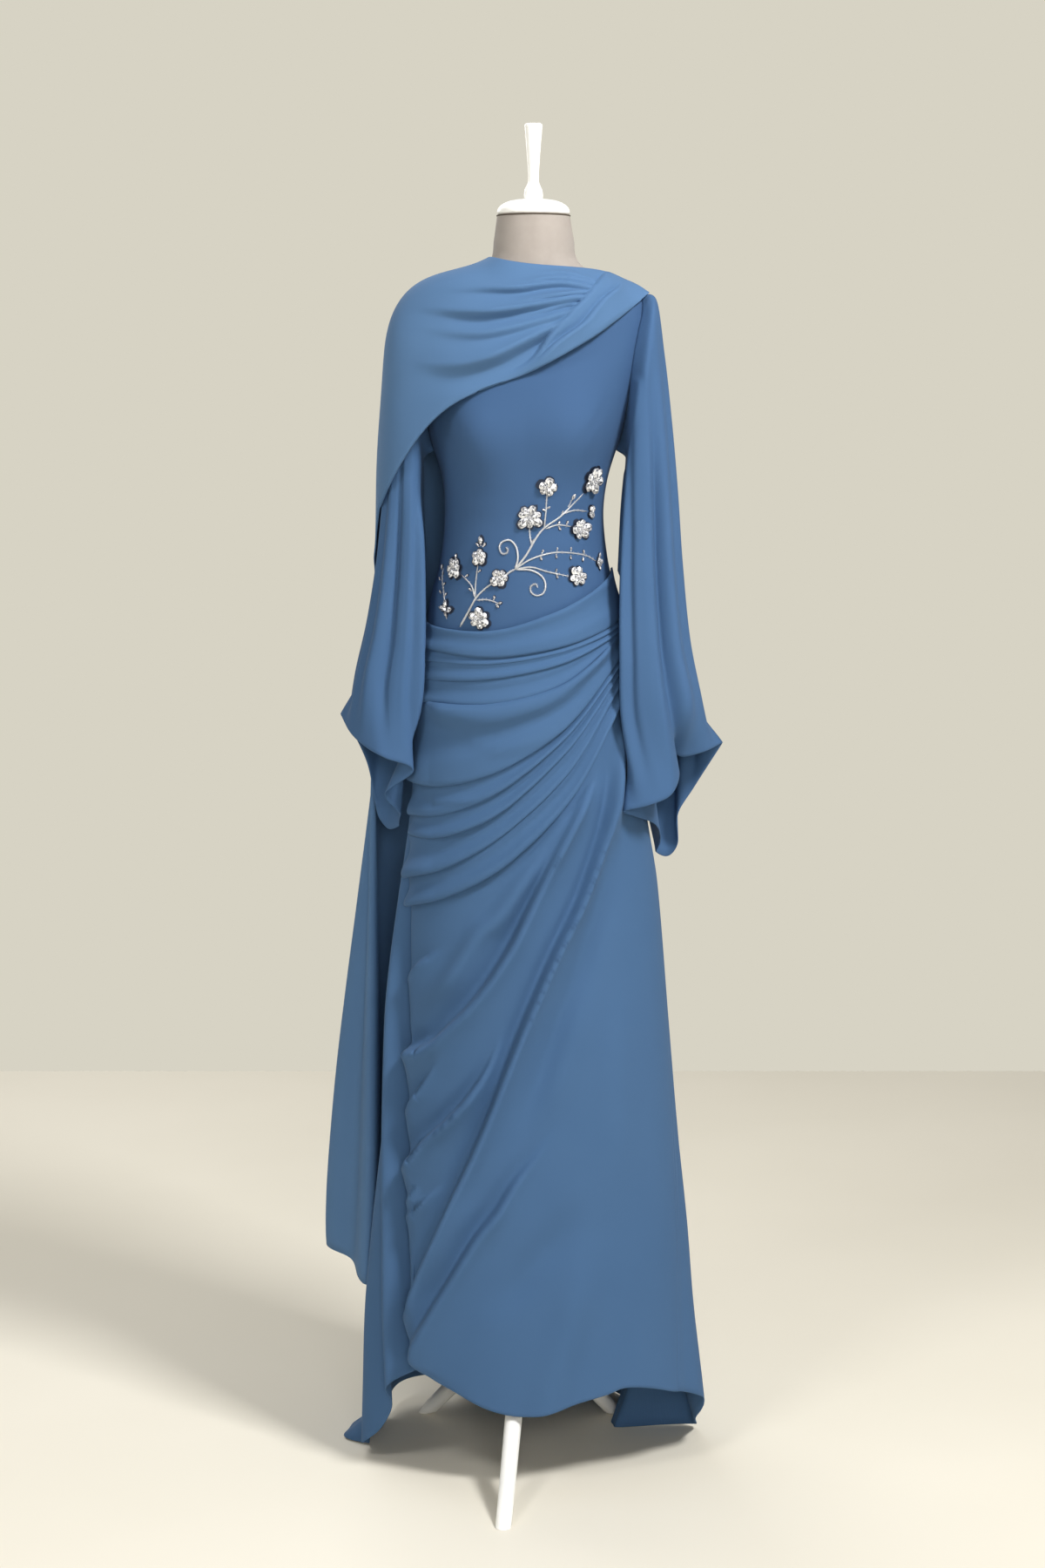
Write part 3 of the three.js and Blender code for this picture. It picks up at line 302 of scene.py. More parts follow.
white_paint = paint_finish()
pole = piece("pole", *ring_mesh(turned(
    [(0.5, 0), (POLE_RADIUS - 1, 0), (POLE_RADIUS, 1), (POLE_RADIUS, 360), (POLE_RADIUS, POLE_LENGTH - 1),
     (POLE_RADIUS - 1, POLE_LENGTH), (0.5, POLE_LENGTH)], 0, 0, HUB_HIGH + GAP, 48)), white_paint)
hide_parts("stand_pole")
hub = piece("hub", *ring_mesh(turned(
    [(13, 0), (25, 0), (HUB_RADIUS, 2), (HUB_RADIUS, 22), (26, 24), (26, 28), (HUB_RADIUS, 30),
     (HUB_RADIUS, 49), (25, 52), (13, 52)], 0, 0, HUB_LOW, 56)), white_paint)
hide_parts("stand_hub")
for side_name, (foot_x, foot_y) in FEET.items():
    length = math.hypot(foot_x, foot_y)
    out = np.array([foot_x / length, foot_y / length, 0])
    across = np.array([-out[1], out[0], 0])
    slope = math.atan2(HUB_HIGH - LEG["drop"], length - HUB_RADIUS)
    around = np.linspace(0, 2 * math.pi, 28, endpoint=False)
    rings = []
    for t in np.linspace(0, 1, 13):
        # The end rings are upright at the hub and flat at the foot, and the others square to the leg
        reach = HUB_RADIUS + GAP + (length - HUB_RADIUS - GAP) * t
        height = (HUB_HIGH - LEG["drop"]) * (1 - t)
        radius = LEG["radius"] - LEG["taper"] * t
        stand = 0 if t == 1 else 1 if t == 0 else math.cos(slope)
        lean = 0 if t == 0 else 0.9 if t == 1 else math.sin(slope)
        rings.append([out * (reach + radius * math.sin(a) * lean) + across * radius * math.cos(a)
                      + [0, 0, height + radius * math.sin(a) * stand] for a in around])
    leg = eased(piece("leg_" + side_name, *ring_mesh(rings), white_paint), 1.2)
    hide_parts("stand_leg_" + side_name)
    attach(leg, "root")
for part in (pole, hub):
    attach(part, "root")


# The dress form: a padded, limbless torso in a beige knit cover, with a turned cap and handle on its neck.
# The cover is drawn down over the foam, closed by a cord under the cap, and stapled under the flat base.
def table(columns, *rows):
    """Rows under named columns, kept as one array for each column."""
    return {name: np.array(column, float) for name, column in zip(columns.split(), zip(*rows))}


FORM = table(
    "z half front back shift",
    (905, 131, 90, 100, 0), (960, 138, 97, 112, 0), (1030, 139, 100, 114, 1), (1100, 133, 99, 109, 1),
    (1180, 122, 98, 100, 1), (1240, 108, 95, 88, 2), (1300, 102, 94, 83, 2), (1350, 107, 101, 85, 3),
    (1410, 125, 111, 90, 4), (1460, 138, 108, 95, 6), (1510, 147, 98, 97, 9), (1550, 149, 86, 93, 11),
    (1575, 144, 77, 86, 12), (1590, 134, 71, 80, 13), (1602, 110, 65, 74, 14), (1614, 82, 60, 67, 14.5),
    (1634, 58, 55, 57, 15), (1660, 53, 52, 52, 15), (1693, 48, 48, 48, 14.5))
FORM_FOOT, NECK_TOP, NECK_X = 905, 1693, 14.5
BUST = {"height": 1405, "spread": 52, "angle": 0.52, "width": 0.3, "fullness": 13}


def along(keys, values, at):
    """Smooth values at places along rising keys. A value may be a number or a whole grid."""
    at = np.asarray(at, float)
    last = len(keys) - 1
    i = np.searchsorted(keys[1:-1], at, side="left")
    shape = at.shape + (1,) * (values.ndim - 1)

    def lean(j):
        after, before = np.minimum(j + 1, last), np.maximum(j - 1, 0)
        return (values[after] - values[before]) / (keys[after] - keys[before]).reshape(shape)

    span = (keys[i + 1] - keys[i]).reshape(shape)
    t = np.clip((at.reshape(shape) - keys[i].reshape(shape)) / span, 0, 1)
    rise = t * t * (3 - 2 * t)
    lead = t * (1 - t) ** 2 * lean(i) - t * t * (1 - t) * lean(i + 1)
    return values[i] * (1 - rise) + values[i + 1] * rise + lead * span


def read(rows, key, column, at):
    """A column of a table, at places along its key column."""
    return along(rows[key], rows[column], at)


def bell(x):
    """A round rise, 1 in its middle."""
    return np.exp(-np.square(x))


def smooth(low, high, x):
    """A soft step, 0 up to a low place and 1 from a high one."""
    t = np.clip((np.asarray(x, float) - low) / (high - low), 0, 1)
    return t * t * (3 - 2 * t)


def torso(theta, z):
    """The form's surface, by angles from the middle of its front and by heights."""
    theta, z = np.broadcast_arrays(np.asarray(theta, float), np.asarray(z, float))
    depth = np.where(np.cos(theta) > 0, read(FORM, "z", "front", z), read(FORM, "z", "back", z))
    side = bell((np.abs(theta) - BUST["angle"]) / BUST["width"])
    bust = BUST["fullness"] * side * bell((z - BUST["height"]) / BUST["spread"])
    x = read(FORM, "z", "shift", z) + (read(FORM, "z", "half", z) + bust) * np.sin(theta)
    return np.stack([x, -(depth + bust) * np.cos(theta), z], -1)


def unit(vectors):
    return vectors / np.maximum(np.linalg.norm(vectors, axis=-1, keepdims=True), 1e-9)


def facing(surface, theta, z):
    """Directions square to a surface, pointing out."""
    across = surface(theta + 0.01, z) - surface(theta - 0.01, z)
    return unit(np.cross(across, surface(theta, z + 1) - surface(theta, z - 1)))


def raised(surface, theta, z, lift):
    """Places on a surface, moved out by a lift."""
    theta, z = np.broadcast_arrays(np.asarray(theta, float), np.asarray(z, float))
    return surface(theta, z) + facing(surface, theta, z) * np.asarray(lift, float)[..., None]


def cover_finish():
    finish = Finish("form_cover", Roughness=0.92, Sheen_Weight=0.12)
    where = finish.coordinate("Object")
    knit = finish.node("ShaderNodeTexWave", {"wave_type": "BANDS", "bands_direction": "Z"},
                       {"Vector": where, "Scale": 260.0, "Distortion": 1.5, "Detail": 2.0,
                        "Detail Scale": 30.0})
    slub = finish.noise(where, 45.0, 4.0)
    cross = finish.noise(where, 900.0, 2.0)
    weave = Shade(finish, knit.outputs[1]) * 0.5 + cross * 0.5
    finish.feed(Base_Color=finish.between(slub, tone(150, 141, 134), tone(169, 161, 154)))
    finish.feed(Roughness=0.86 + 0.1 * weave)
    finish.feed(Normal=finish.relief(weave, 0.0004, 0.5))
    return finish.material


# The rings lie closer from the shoulders up, and the foot's edge is turned in
around = np.linspace(0, 2 * math.pi, 96, endpoint=False)
levels = np.concatenate([np.linspace(FORM_FOOT, 1560, 56), np.linspace(1566, NECK_TOP, 42)])
edge = [torso(around, FORM_FOOT) * [s, s, 1] + [0, 0, up] for s, up in ((0.9, 0), (0.985, 0.2))]
rings = edge + [torso(around, z) for z in levels[1:]]
torso_cover = piece("torso_cover", *ring_mesh(rings), cover_finish())
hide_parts("form_torso")
CAP_HEIGHT = 20
cap = piece("cap", *ring_mesh(turned(
    [(1, 0), (45, 0), (47.4, 0.9), (48, 2.6), (47.8, 5.4), (46.6, 8.6), (43.4, 12.2), (38, 15.6),
     (31, 18.2), (22, 19.8), (14, CAP_HEIGHT), (1, CAP_HEIGHT)], NECK_X, 0, NECK_TOP + GAP)), white_paint)
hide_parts("neck_cap")
handle = piece("handle", *ring_mesh(turned(
    [(1, 0), (11.6, 0), (12.3, 1.4), (12.6, 5), (12.2, 9), (11.2, 13), (9.6, 16.6), (7.8, 20), (7.1, 23.5),
     (7, 27), (7.6, 40), (8.7, 56), (10, 74), (11.6, 92), (11.8, 95.5), (11, 97.6), (9, 98), (1, 98)],
    NECK_X, 0, NECK_TOP + CAP_HEIGHT + 2 * GAP)), white_paint)
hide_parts("neck_handle")


def cord_finish():
    finish = Finish("closing_cord", Roughness=0.75)
    where = finish.coordinate("Object")
    strand = finish.noise(where, 700.0, 2.0)
    finish.feed(Base_Color=finish.between(strand, tone(52, 46, 40), tone(92, 80, 66)))
    finish.feed(Normal=finish.relief(strand, 0.0004, 0.6))
    return finish.material


CORD_RING, CORD_HALF = 48.2, 0.9
bead = [(CORD_RING + CORD_HALF * math.cos(a), math.sin(a)) for a in np.linspace(-math.pi, math.pi, 11)]
cord = piece("closing_cord", *ring_mesh(turned(bead, NECK_X, 0, NECK_TOP - CORD_HALF, 72), (False, False)),
             cord_finish())
for part, slot_name in ((torso_cover, "form_cover"), (cap, "white_paint"), (handle, "white_paint"),
                        (cord, "form_cover")):
    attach(part, "root")


# The bodice: one front and two backs of crepe chiffon over a plain lining, cut close, with two bust darts.
# The side seams and the middle of the back are sewn, a hidden zip closes the back, and the neck is faced.

# The cloth's thickness, its distance from the form, and half the gap at a seam
CLOTH, FIT, SEAM_HALF = 1.6, 2.4, 0.45
WAIST_SEAM, UNDERARM, SHOULDER_TIP, NECK_EDGE = 1148, 1386, 1588, 1619
FRONT_PROUD = 0.25  # how far the front stands out before the backs
ARMHOLE = table("z angle", (WAIST_SEAM, 90), (UNDERARM, 90), (1422, 80), (1460, 71), (1500, 66), (1540, 68),
                (1568, 77), (SHOULDER_TIP, 90), (NECK_EDGE, 90))


def crepe(name, lit, deep):
    """Crepe chiffon: matte, pebbled by its hard twisted yarn, with a faint bloom along its folds."""
    finish = Finish(name, Roughness=0.82, Sheen_Weight=0.05, Sheen_Roughness=0.4,
                    Sheen_Tint=tone(190, 214, 240), Specular_IOR_Level=0.2)
    lay = finish.coordinate("UV")
    cloud = finish.noise(finish.coordinate("Object"), 5.0, 2.0)
    pebble = finish.noise(lay, 620.0, 3.0, 0.65)
    yarn = [Shade(finish, finish.node("ShaderNodeTexWave", {"wave_type": "BANDS", "bands_direction": way},
                                      {"Vector": lay, "Scale": 330.0, "Distortion": 2.5, "Detail": 1.0,
                                       "Detail Scale": 60.0}).outputs[1]) for way in ("X", "Y")]
    weave = yarn[0] * 0.3 + yarn[1] * 0.3 + pebble * 0.4
    finish.feed(Base_Color=finish.between(cloud * 0.7 + weave * 0.3, deep, lit))
    finish.feed(Roughness=0.76 + 0.12 * pebble)
    finish.feed(Normal=finish.relief(weave, 0.00035, 0.3))
    return finish.material


def square_to(grid, closed=False, sign=1):
    """Directions square to a grid of points, on the side that sign chooses."""
    if closed:
        across = np.roll(grid, -1, 1) - np.roll(grid, 1, 1)
    else:
        across = np.gradient(grid, axis=1)
    return unit(np.cross(across, np.gradient(grid, axis=0))) * sign


def laid_out(grid, axis):
    """How far the points of a grid lie along it, in millimetres over the cloth."""
    steps = np.cumsum(np.linalg.norm(np.diff(grid, axis=axis), axis=-1), axis)
    return np.concatenate([np.zeros_like(steps.take([0], axis)), steps], axis)


def cloth(name, grid, material, sign=1, closed=False, thick=CLOTH):
    """A cloth piece from its outer face, with an inner face, rounded free edges and a map of its lay."""
    rows, cols = grid.shape[:2]
    away = square_to(grid, closed, sign)
    inner, middle = grid - away * thick, grid - away * (thick / 2)
    points = list(grid.reshape(-1, 3)) + list(inner.reshape(-1, 3))
    wide = cols if closed else cols - 1
    step = np.concatenate([grid, grid[:, :1]], 1) if closed else grid
    v = laid_out(grid, 0)
    u = laid_out(step, 1).mean(0)[None].repeat(rows, 0) / 1000
    v = np.concatenate([v, v[:, :1]], 1) / 1000 if closed else v / 1000
    faces, lay = [], []

    def quad(corners, places):
        if sign < 0:
            corners, places = corners[::-1], places[::-1]
        faces.append(corners)
        lay.extend((u[i, j], v[i, j]) for i, j in places)

    def at(layer, i, j):
        return layer * rows * cols + i * cols + j % cols

    for i in range(rows - 1):
        for j in range(wide):
            places = [(i, j), (i, j + 1), (i + 1, j + 1), (i + 1, j)]
            quad([at(0, *p) for p in places], places)
            quad([at(1, *p) for p in places[::-1]], places[::-1])
    rims = [([(0, j) for j in range(wide + 1)], False), ([(rows - 1, j) for j in range(wide + 1)], True)]
    if not closed:
        rims += [([(i, 0) for i in range(rows)], True), ([(i, cols - 1) for i in range(rows)], False)]
    for line, flip in rims:
        spots = {}
        for i, j in line:
            key = (i, j % cols)
            if key not in spots:
                inward = (min(max(i, 1), rows - 2), key[1] if closed else min(max(key[1], 1), cols - 2))
                spots[key] = len(points)
                points.append(middle[key] + unit(grid[key] - grid[inward]) * thick * 0.45)
        for (i, j), (k, m) in zip(line[:-1], line[1:]):
            a, b = spots[(i, j % cols)], spots[(k, m % cols)]
            for corners, places in (((at(0, i, j), a, b, at(0, k, m)), ((i, j), (i, j), (k, m), (k, m))),
                                    ((a, at(1, i, j), at(1, k, m), b), ((i, j), (i, j), (k, m), (k, m)))):
                quad(corners if not flip else corners[::-1], places if not flip else places[::-1])
    made = piece(name, points, faces, material, recalculate=False)
    layer = made.data.uv_layers.new(name="lay")
    layer.data.foreach_set("uv", np.array(lay, np.float32).ravel())
    return made


def armhole_reach(z):
    """How far round the front reaches: to the side seam, and higher up to the armhole."""
    return np.radians(np.minimum(read(ARMHOLE, "z", "angle", z), 90))


def seam_angle(z):
    """Half a seam's gap, as an angle."""
    return SEAM_HALF / read(FORM, "z", "front", z)


def bodice(theta, z):
    """The bodice's outer face."""
    return raised(torso, theta, z, FIT + CLOTH)


def away_from(x, z, line):
    """Distance of places from a bent line, the share of the way along it, and the side they lie on."""
    ends = np.array(line, float)
    best = np.full(x.shape, np.inf)
    share, side = np.zeros(x.shape), np.ones(x.shape)
    lengths = np.linalg.norm(np.diff(ends, axis=0), axis=1)
    starts = np.concatenate([[0], np.cumsum(lengths)])
    for k, (a, b) in enumerate(zip(ends[:-1], ends[1:])):
        run = b - a
        t = np.clip(((x - a[0]) * run[0] + (z - a[1]) * run[1]) / (run @ run), 0, 1)
        far = np.hypot(x - a[0] - t * run[0], z - a[1] - t * run[1])
        nearer = far < best
        best = np.where(nearer, far, best)
        share = np.where(nearer, (starts[k] + t * lengths[k]) / starts[-1], share)
        side = np.where(nearer, np.sign(run[0] * (z - a[1]) - run[1] * (x - a[0])), side)
    return best, share, side


def curved(points, count=24):
    """A smooth line through a few points, which lie at even steps."""
    points = np.array(points, float)
    return along(np.arange(len(points), dtype=float), points, np.linspace(0, len(points) - 1, count))


# Darts and soft creases of the front: line, half width and rise
BODICE_CREASES = [
    ([(112, 1452), (96, 1424), (78, 1398), (62, 1372)], 5.0, -1.1),
    ([(-116, 1440), (-100, 1412), (-84, 1390)], 5.0, -0.9),
    ([(96, 1330), (60, 1318), (20, 1316)], 13.0, 1.0),
    ([(-92, 1322), (-60, 1312), (-20, 1312)], 13.0, 1.0),
    ([(104, 1278), (60, 1262), (10, 1258)], 11.0, 0.8),
]


def bodice_front_face(theta, z):
    grid = bodice(theta, z)
    lift = np.zeros(grid.shape[:2])
    for line, width, rise in BODICE_CREASES:
        far, share, _ = away_from(grid[..., 0], grid[..., 2], curved(line))
        lift += rise * bell(far / width) * np.sin(math.pi * np.clip(share, 0.03, 0.97)) ** 0.7
    return grid + facing(torso, theta, z) * (lift + FRONT_PROUD)[..., None]


# The bodice is the same crepe as the skirt, given darker tones as painted shade
bodice_crepe = crepe("bodice_crepe", tone(63, 92, 130), tone(53, 82, 120))
z = np.linspace(WAIST_SEAM + GAP, NECK_EDGE, 130)[:, None]
s = np.linspace(0, 1, 96)[None]
front_grid = bodice_front_face((2 * s - 1) * (armhole_reach(z) - seam_angle(z)), z)
bodice_front = cloth("bodice_front_crepe", front_grid, bodice_crepe)
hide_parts("bodice_front")
s = np.linspace(0, 1, 54)[None]
back_turn = seam_angle(z) + s * (armhole_reach(z) - 2 * seam_angle(z))
bodice_back_right = cloth("bodice_back_right_crepe", bodice(math.pi - back_turn, z), bodice_crepe, -1)
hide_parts("bodice_back_right")
bodice_back_left = cloth("bodice_back_left_crepe", bodice(math.pi + back_turn, z), bodice_crepe)
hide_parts("bodice_back_left")
for part in (bodice_front, bodice_back_right, bodice_back_left):
    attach(part, "root")


# The skirt: a draped front, gathered into the left side seam, and a fluted back with a small train.
# Soft folds fall from the right hip to the left seam. Both panels are crepe with a narrow rolled hem.

# Half widths, half depths and the angles of both side seams, at heights over the floor
SKIRT = table(
    "z left right front back seam_left seam_right",
    (0, 206, 249, 166, 292, 45, 60), (100, 203, 240, 160, 268, 47, 62),
    (216, 200, 229, 152, 240, 50.5, 66.5), (330, 192, 222, 143, 212, 54, 71),
    (450, 183, 211, 134, 187, 58, 75.5), (600, 172, 199, 124, 162, 63, 80.5),
    (800, 159, 182, 112, 137, 70, 85.5), (880, 152, 169, 108, 129, 74.5, 87),
    (960, 146, 157, 105.5, 122, 79.5, 88), (1030, 143, 147, 105.5, 121, 83.5, 88),
    (1100, 137, 139, 105, 117.5, 86.5, 88), (WAIST_SEAM, 129, 132, 103, 110, 88, 88))
# Height of the hem at angles round the skirt, from the middle of the front
HEM = table(
    "angle z",
    (-180, 2.4), (-165, 14), (-150, 32), (-132, 36), (-118, 20), (-110, 2.4), (-98, 2.4), (-94, 2.4),
    (-91, 5.5), (-88, 10), (-84, 15), (-80, 20), (-76, 30), (-72, 44), (-67, 72), (-62, 102), (-55, 137),
    (-47, 152), (-40, 151), (-34, 141), (-28, 133), (-15, 113), (-4, 104), (5, 105), (11, 110), (18, 118),
    (29, 126.5), (35.5, 132), (46, 125.5), (59, 111), (66, 105), (75, 93), (84, 76), (88, 62), (94, 40),
    (100, 20), (105, 7), (109, 2.4), (135, 2.4), (160, 2.4), (180, 2.4))
# The front panel's rounded left corner, in degrees round and height
CORNER = {"start": -40, "width": 10, "rise": 66}
# The back's flutes: how many would go all round, depth, the height they start from, turn and sway, and the
# degrees behind each seam that stay smooth and over which they then grow
FLUTES = {"count": 9, "depth": 19, "start": 1000, "turn": 20, "sway": 0.35, "smooth": 4, "grow": 24}
# The deep fold behind the left seam, and the round fold after it, in degrees and millimetres
GROOVE = {"behind": 4.5, "width": 3.4, "depth": 30}
ROLL = {"behind": 11.5, "width": 4.5, "rise": 20}
# Where the train curls: angle, width before and after it, reach, and how far up it goes
TRAIN_CURLS = [(-101, 12, 8, 66, 44), (98, 13, 9.5, 25, 70), (118, 8, 9.5, -122, 220)]

# Each rolled fold: its crest across and up, rise, width of the drop before it and of the swell behind it,
# the shares of its length over which it starts and ends, and the side that stands proud: 1 below and right,
# -1 above and left
FRONT_FOLDS = [
    ([(104, 969), (90, 943), (59, 882), (32, 825), (6, 768), (-9, 735), (-36, 688), (-63, 650),
      (-94, 615), (-117, 591), (-160, 571)], 26, 9, 26, 0.15, 0, 1),
    ([(-94, 594), (-121, 548), (-143, 512), (-162, 476)], 12, 6, 15, 0.6, 0, 1),
    ([(-20, 630), (-41, 572), (-67, 527), (-94, 493), (-122, 462), (-161, 407)], 24, 9, 18, 0.45, 0, 1),
    ([(-132, 408), (-143, 390), (-161, 355)], 8, 5, 9, 0.4, 0, 1),
    ([(-99, 413), (-123, 388), (-161, 343)], 7, 5, 9, 0.5, 0, 1),
    ([(130, 1028), (116, 910), (95, 837), (74, 781), (49, 730), (22, 667), (1, 614), (-20, 556),
      (-41, 497), (-63, 442), (-84, 393), (-111, 325), (-133, 269), (-156, 203)], 27, 9, 17, 0.15, 0, 1),
    ([(59, 507), (32, 466), (-5, 418), (-30, 375), (-57, 337), (-84, 287), (-111, 235), (-133, 187),
      (-149, 146)], 23, 11, 22, 0.45, 0.05, 1),
    ([(-99, 726), (-120, 712), (-138, 694), (-160, 658)], 9, 7, 12, 0.5, 0, 1)]
# Soft swells and hollows between them: line, rise, half width, and the shares over which they start and end
FRONT_SWELLS = [
    ([(88, 958), (74, 934), (38, 862), (1, 815), (-30, 772), (-57, 745), (-94, 685), (-141, 637)],
     12, 14, 0.2, 0.2),
    ([(124, 900), (104, 800), (82, 722), (52, 640), (24, 560), (-4, 490), (-30, 430)], -8, 17, 0.3, 0.4),
    ([(96, 700), (70, 610), (46, 540), (20, 470)], 4, 20, 0.4, 0.4),
    ([(129, 1040), (125, 978), (119, 899), (116, 829)], 9, 9, 0.2, 0.6),
    ([(123, 700), (123, 619), (122, 537), (124, 443), (120, 338)], 6, 24, 0.4, 0.4),
    ([(81, 400), (58, 363), (38, 332), (12, 301), (-15, 264), (-52, 220)], -8, 24, 0.4, 0.4),
    ([(84, 360), (79, 310), (64, 230), (45, 170), (30, 110), (18, 60)], 9, 24, 0.4, 0.02),
    ([(-60, 420), (-90, 340), (-120, 260)], 5, 14, 0.4, 0.4)]
# Pleats of the drape and the band, which the front's folds start under: heights of each edge at even steps
# from the left seam to the right hip, and how far it stands out
DRAPE_PLEATS = [
    ((1056, 1052, 1054, 1076, 1123, 1146), 1.2), ((946, 946, 968, 1020, 1092, 1136), 10),
    ((900, 907, 940, 1006, 1083, 1128), 11), ((872, 877, 913, 988, 1072, 1120), 11),
    ((816, 836, 883, 960, 1056, 1112), 12), ((777, 798, 843, 926, 1035, 1103), 12)]
BAND_PLEATS = [
    ((1157, 1150, 1150, 1173, 1203, 1226), 1.2), ((1127, 1122, 1118, 1130, 1151, 1170), 6.5),
    ((1110, 1107, 1108, 1121, 1142, 1162), 6), ((1085, 1084, 1089, 1106, 1134, 1155), 7),
    ((1057, 1053, 1055, 1077, 1124, 1147), 8)]
PLEAT_LEFT, PLEAT_RIGHT = -84, 86


def pleat_height(heights, share):
    return along(np.linspace(0, 1, len(heights)), np.array(heights, float), share)


def skirt_body(angle, z):
    """The skirt's outer face all round, before the front's soft folds."""
    angle, z = np.broadcast_arrays(np.asarray(angle, float), np.asarray(z, float))
    theta = np.arctan2(np.sin(angle), np.cos(angle))
    degrees = np.degrees(theta)
    half = np.where(theta < 0, read(SKIRT, "z", "left", z), read(SKIRT, "z", "right", z))
    depth = np.where(np.cos(theta) > 0, read(SKIRT, "z", "front", z), read(SKIRT, "z", "back", z))
    left_seam, right_seam = -read(SKIRT, "z", "seam_left", z), read(SKIRT, "z", "seam_right", z)
    behind = np.maximum(left_seam - degrees, degrees - right_seam)
    on_back = np.clip((behind - FLUTES["smooth"]) / FLUTES["grow"], 0, 1)
    sway = FLUTES["sway"] * np.sin(2 * theta + z / 400)
    flute = np.cos(FLUTES["count"] * theta + math.radians(FLUTES["turn"]) + sway)
    swell = FLUTES["depth"] * (1 - smooth(100, FLUTES["start"], z)) * on_back * flute
    seam_fold = (ROLL["rise"] * bell((degrees - left_seam + ROLL["behind"]) / ROLL["width"])
                 - GROOVE["depth"] * bell((degrees - left_seam + GROOVE["behind"]) / GROOVE["width"]))
    swell = swell + seam_fold * (1 - smooth(600, 920, z))
    for at, before, after, reach, height in TRAIN_CURLS:
        near = ((degrees - at) / np.where(degrees < at, before, after)) ** 4
        swell = swell + reach * np.exp(-near - z / height)
    return np.stack([(half + swell) * np.sin(theta), -(depth + swell) * np.cos(theta), z], -1)


def rolled(x, z, folds):
    """Rise of rolled folds at places across and up: a quick drop before each crest, a slow one behind."""
    lift = np.zeros(x.shape)
    for line, rise, drop, swell, start, end, proud in folds:
        far, share, side = away_from(x, z, curved(line, 30))
        # Folds are sharper near their start. A slight hollow lies before the drop
        past = far * side * proud
        sharp = drop * (0.5 + 0.5 * share)
        step = smooth(-1.5 * sharp, 0.1 * sharp, past)
        step = step * np.exp(-np.maximum(past, 0) / (swell * (0.5 + 0.5 * share)))
        step = step - 0.2 * bell((past + 2.1 * sharp) / (1.3 * sharp))
        fade = smooth(0, start, share) * (1 - smooth(1 - end, 1.0, share) if end else 1)
        lift = lift + rise * (0.6 + 0.4 * smooth(0, 0.6, share)) * step * fade
    return lift


def swelled(x, z, swells):
    """Rise of soft swells, round on both sides."""
    lift = np.zeros(x.shape)
    for line, rise, width, start, end in swells:
        far, share, _ = away_from(x, z, curved(line, 30))
        lift = lift + rise * bell(far / width) * smooth(0, start, share) * (1 - smooth(1 - end, 1.0, share))
    return lift


def hull(theta, z):
    """The bodice above the waist seam and the skirt below it."""
    theta, z = np.broadcast_arrays(np.asarray(theta, float), np.asarray(z, float))
    mixed = smooth(WAIST_SEAM - 6, WAIST_SEAM + 6, z)[..., None]
    return bodice(theta, z) * mixed + skirt_body(theta, z) * (1 - mixed)


def panel_grid(downs, shares, place, corner=0):
    """Angles and heights of a skirt panel between its seams, from the waist seam to the hem."""
    downs, shares = downs[:, None], shares[None]
    z = np.full(np.broadcast(downs, shares).shape, float(WAIST_SEAM))
    for _ in range(10):
        theta = place(shares, z)
        degrees = np.degrees(np.arctan2(np.sin(theta), np.cos(theta)))
        bottom = read(HEM, "angle", "z", degrees)
        bottom = bottom + corner * np.clip((CORNER["start"] - degrees) / CORNER["width"], 0, 1) ** 1.8
        z = WAIST_SEAM + (bottom - WAIST_SEAM) * downs
    return place(shares, z), z


def left_edge(z):
    return np.radians(-read(SKIRT, "z", "seam_left", z)) + SEAM_HALF / read(SKIRT, "z", "left", z)


def right_edge(z):
    return np.radians(read(SKIRT, "z", "seam_right", z)) - SEAM_HALF / read(SKIRT, "z", "right", z)


def front_place(share, z):
    return left_edge(z) + (right_edge(z) - left_edge(z)) * share


skirt_crepe = crepe("skirt_crepe", tone(70, 101, 138), tone(59, 90, 128))
theta, z = panel_grid(np.linspace(0, 1, 240), np.linspace(0, 1, 160), front_place, CORNER["rise"])
base = skirt_body(theta, z)
degrees = np.degrees(theta)
# The folds start below the drape's lowest pleat, grow less near the left seam, and end at the right one
pleat_share = np.clip((degrees - PLEAT_LEFT) / (PLEAT_RIGHT - PLEAT_LEFT), 0, 1)
lift = rolled(base[..., 0], z, FRONT_FOLDS) + swelled(base[..., 0], z, FRONT_SWELLS)
lift *= smooth(-4, 40, pleat_height(DRAPE_PLEATS[-1][0], pleat_share) - z)
lift *= 0.42 + 0.58 * smooth(0, 7, degrees + read(SKIRT, "z", "seam_left", z))
lift *= smooth(0, 16, read(SKIRT, "z", "seam_right", z) - degrees)
front_skirt_grid = base + facing(skirt_body, theta, z) * lift[..., None]
skirt_front = cloth("skirt_front_crepe", front_skirt_grid, skirt_crepe)
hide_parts("skirt_front")


def back_start(z):
    return np.radians(read(SKIRT, "z", "seam_right", z)) + SEAM_HALF / read(SKIRT, "z", "right", z)


def back_end(z):
    left_side = np.radians(read(SKIRT, "z", "seam_left", z)) + SEAM_HALF / read(SKIRT, "z", "left", z)
    return 2 * math.pi - left_side


def back_place(share, z):
    return back_start(z) - TURNING + (back_end(z) - back_start(z) + 2 * TURNING) * share


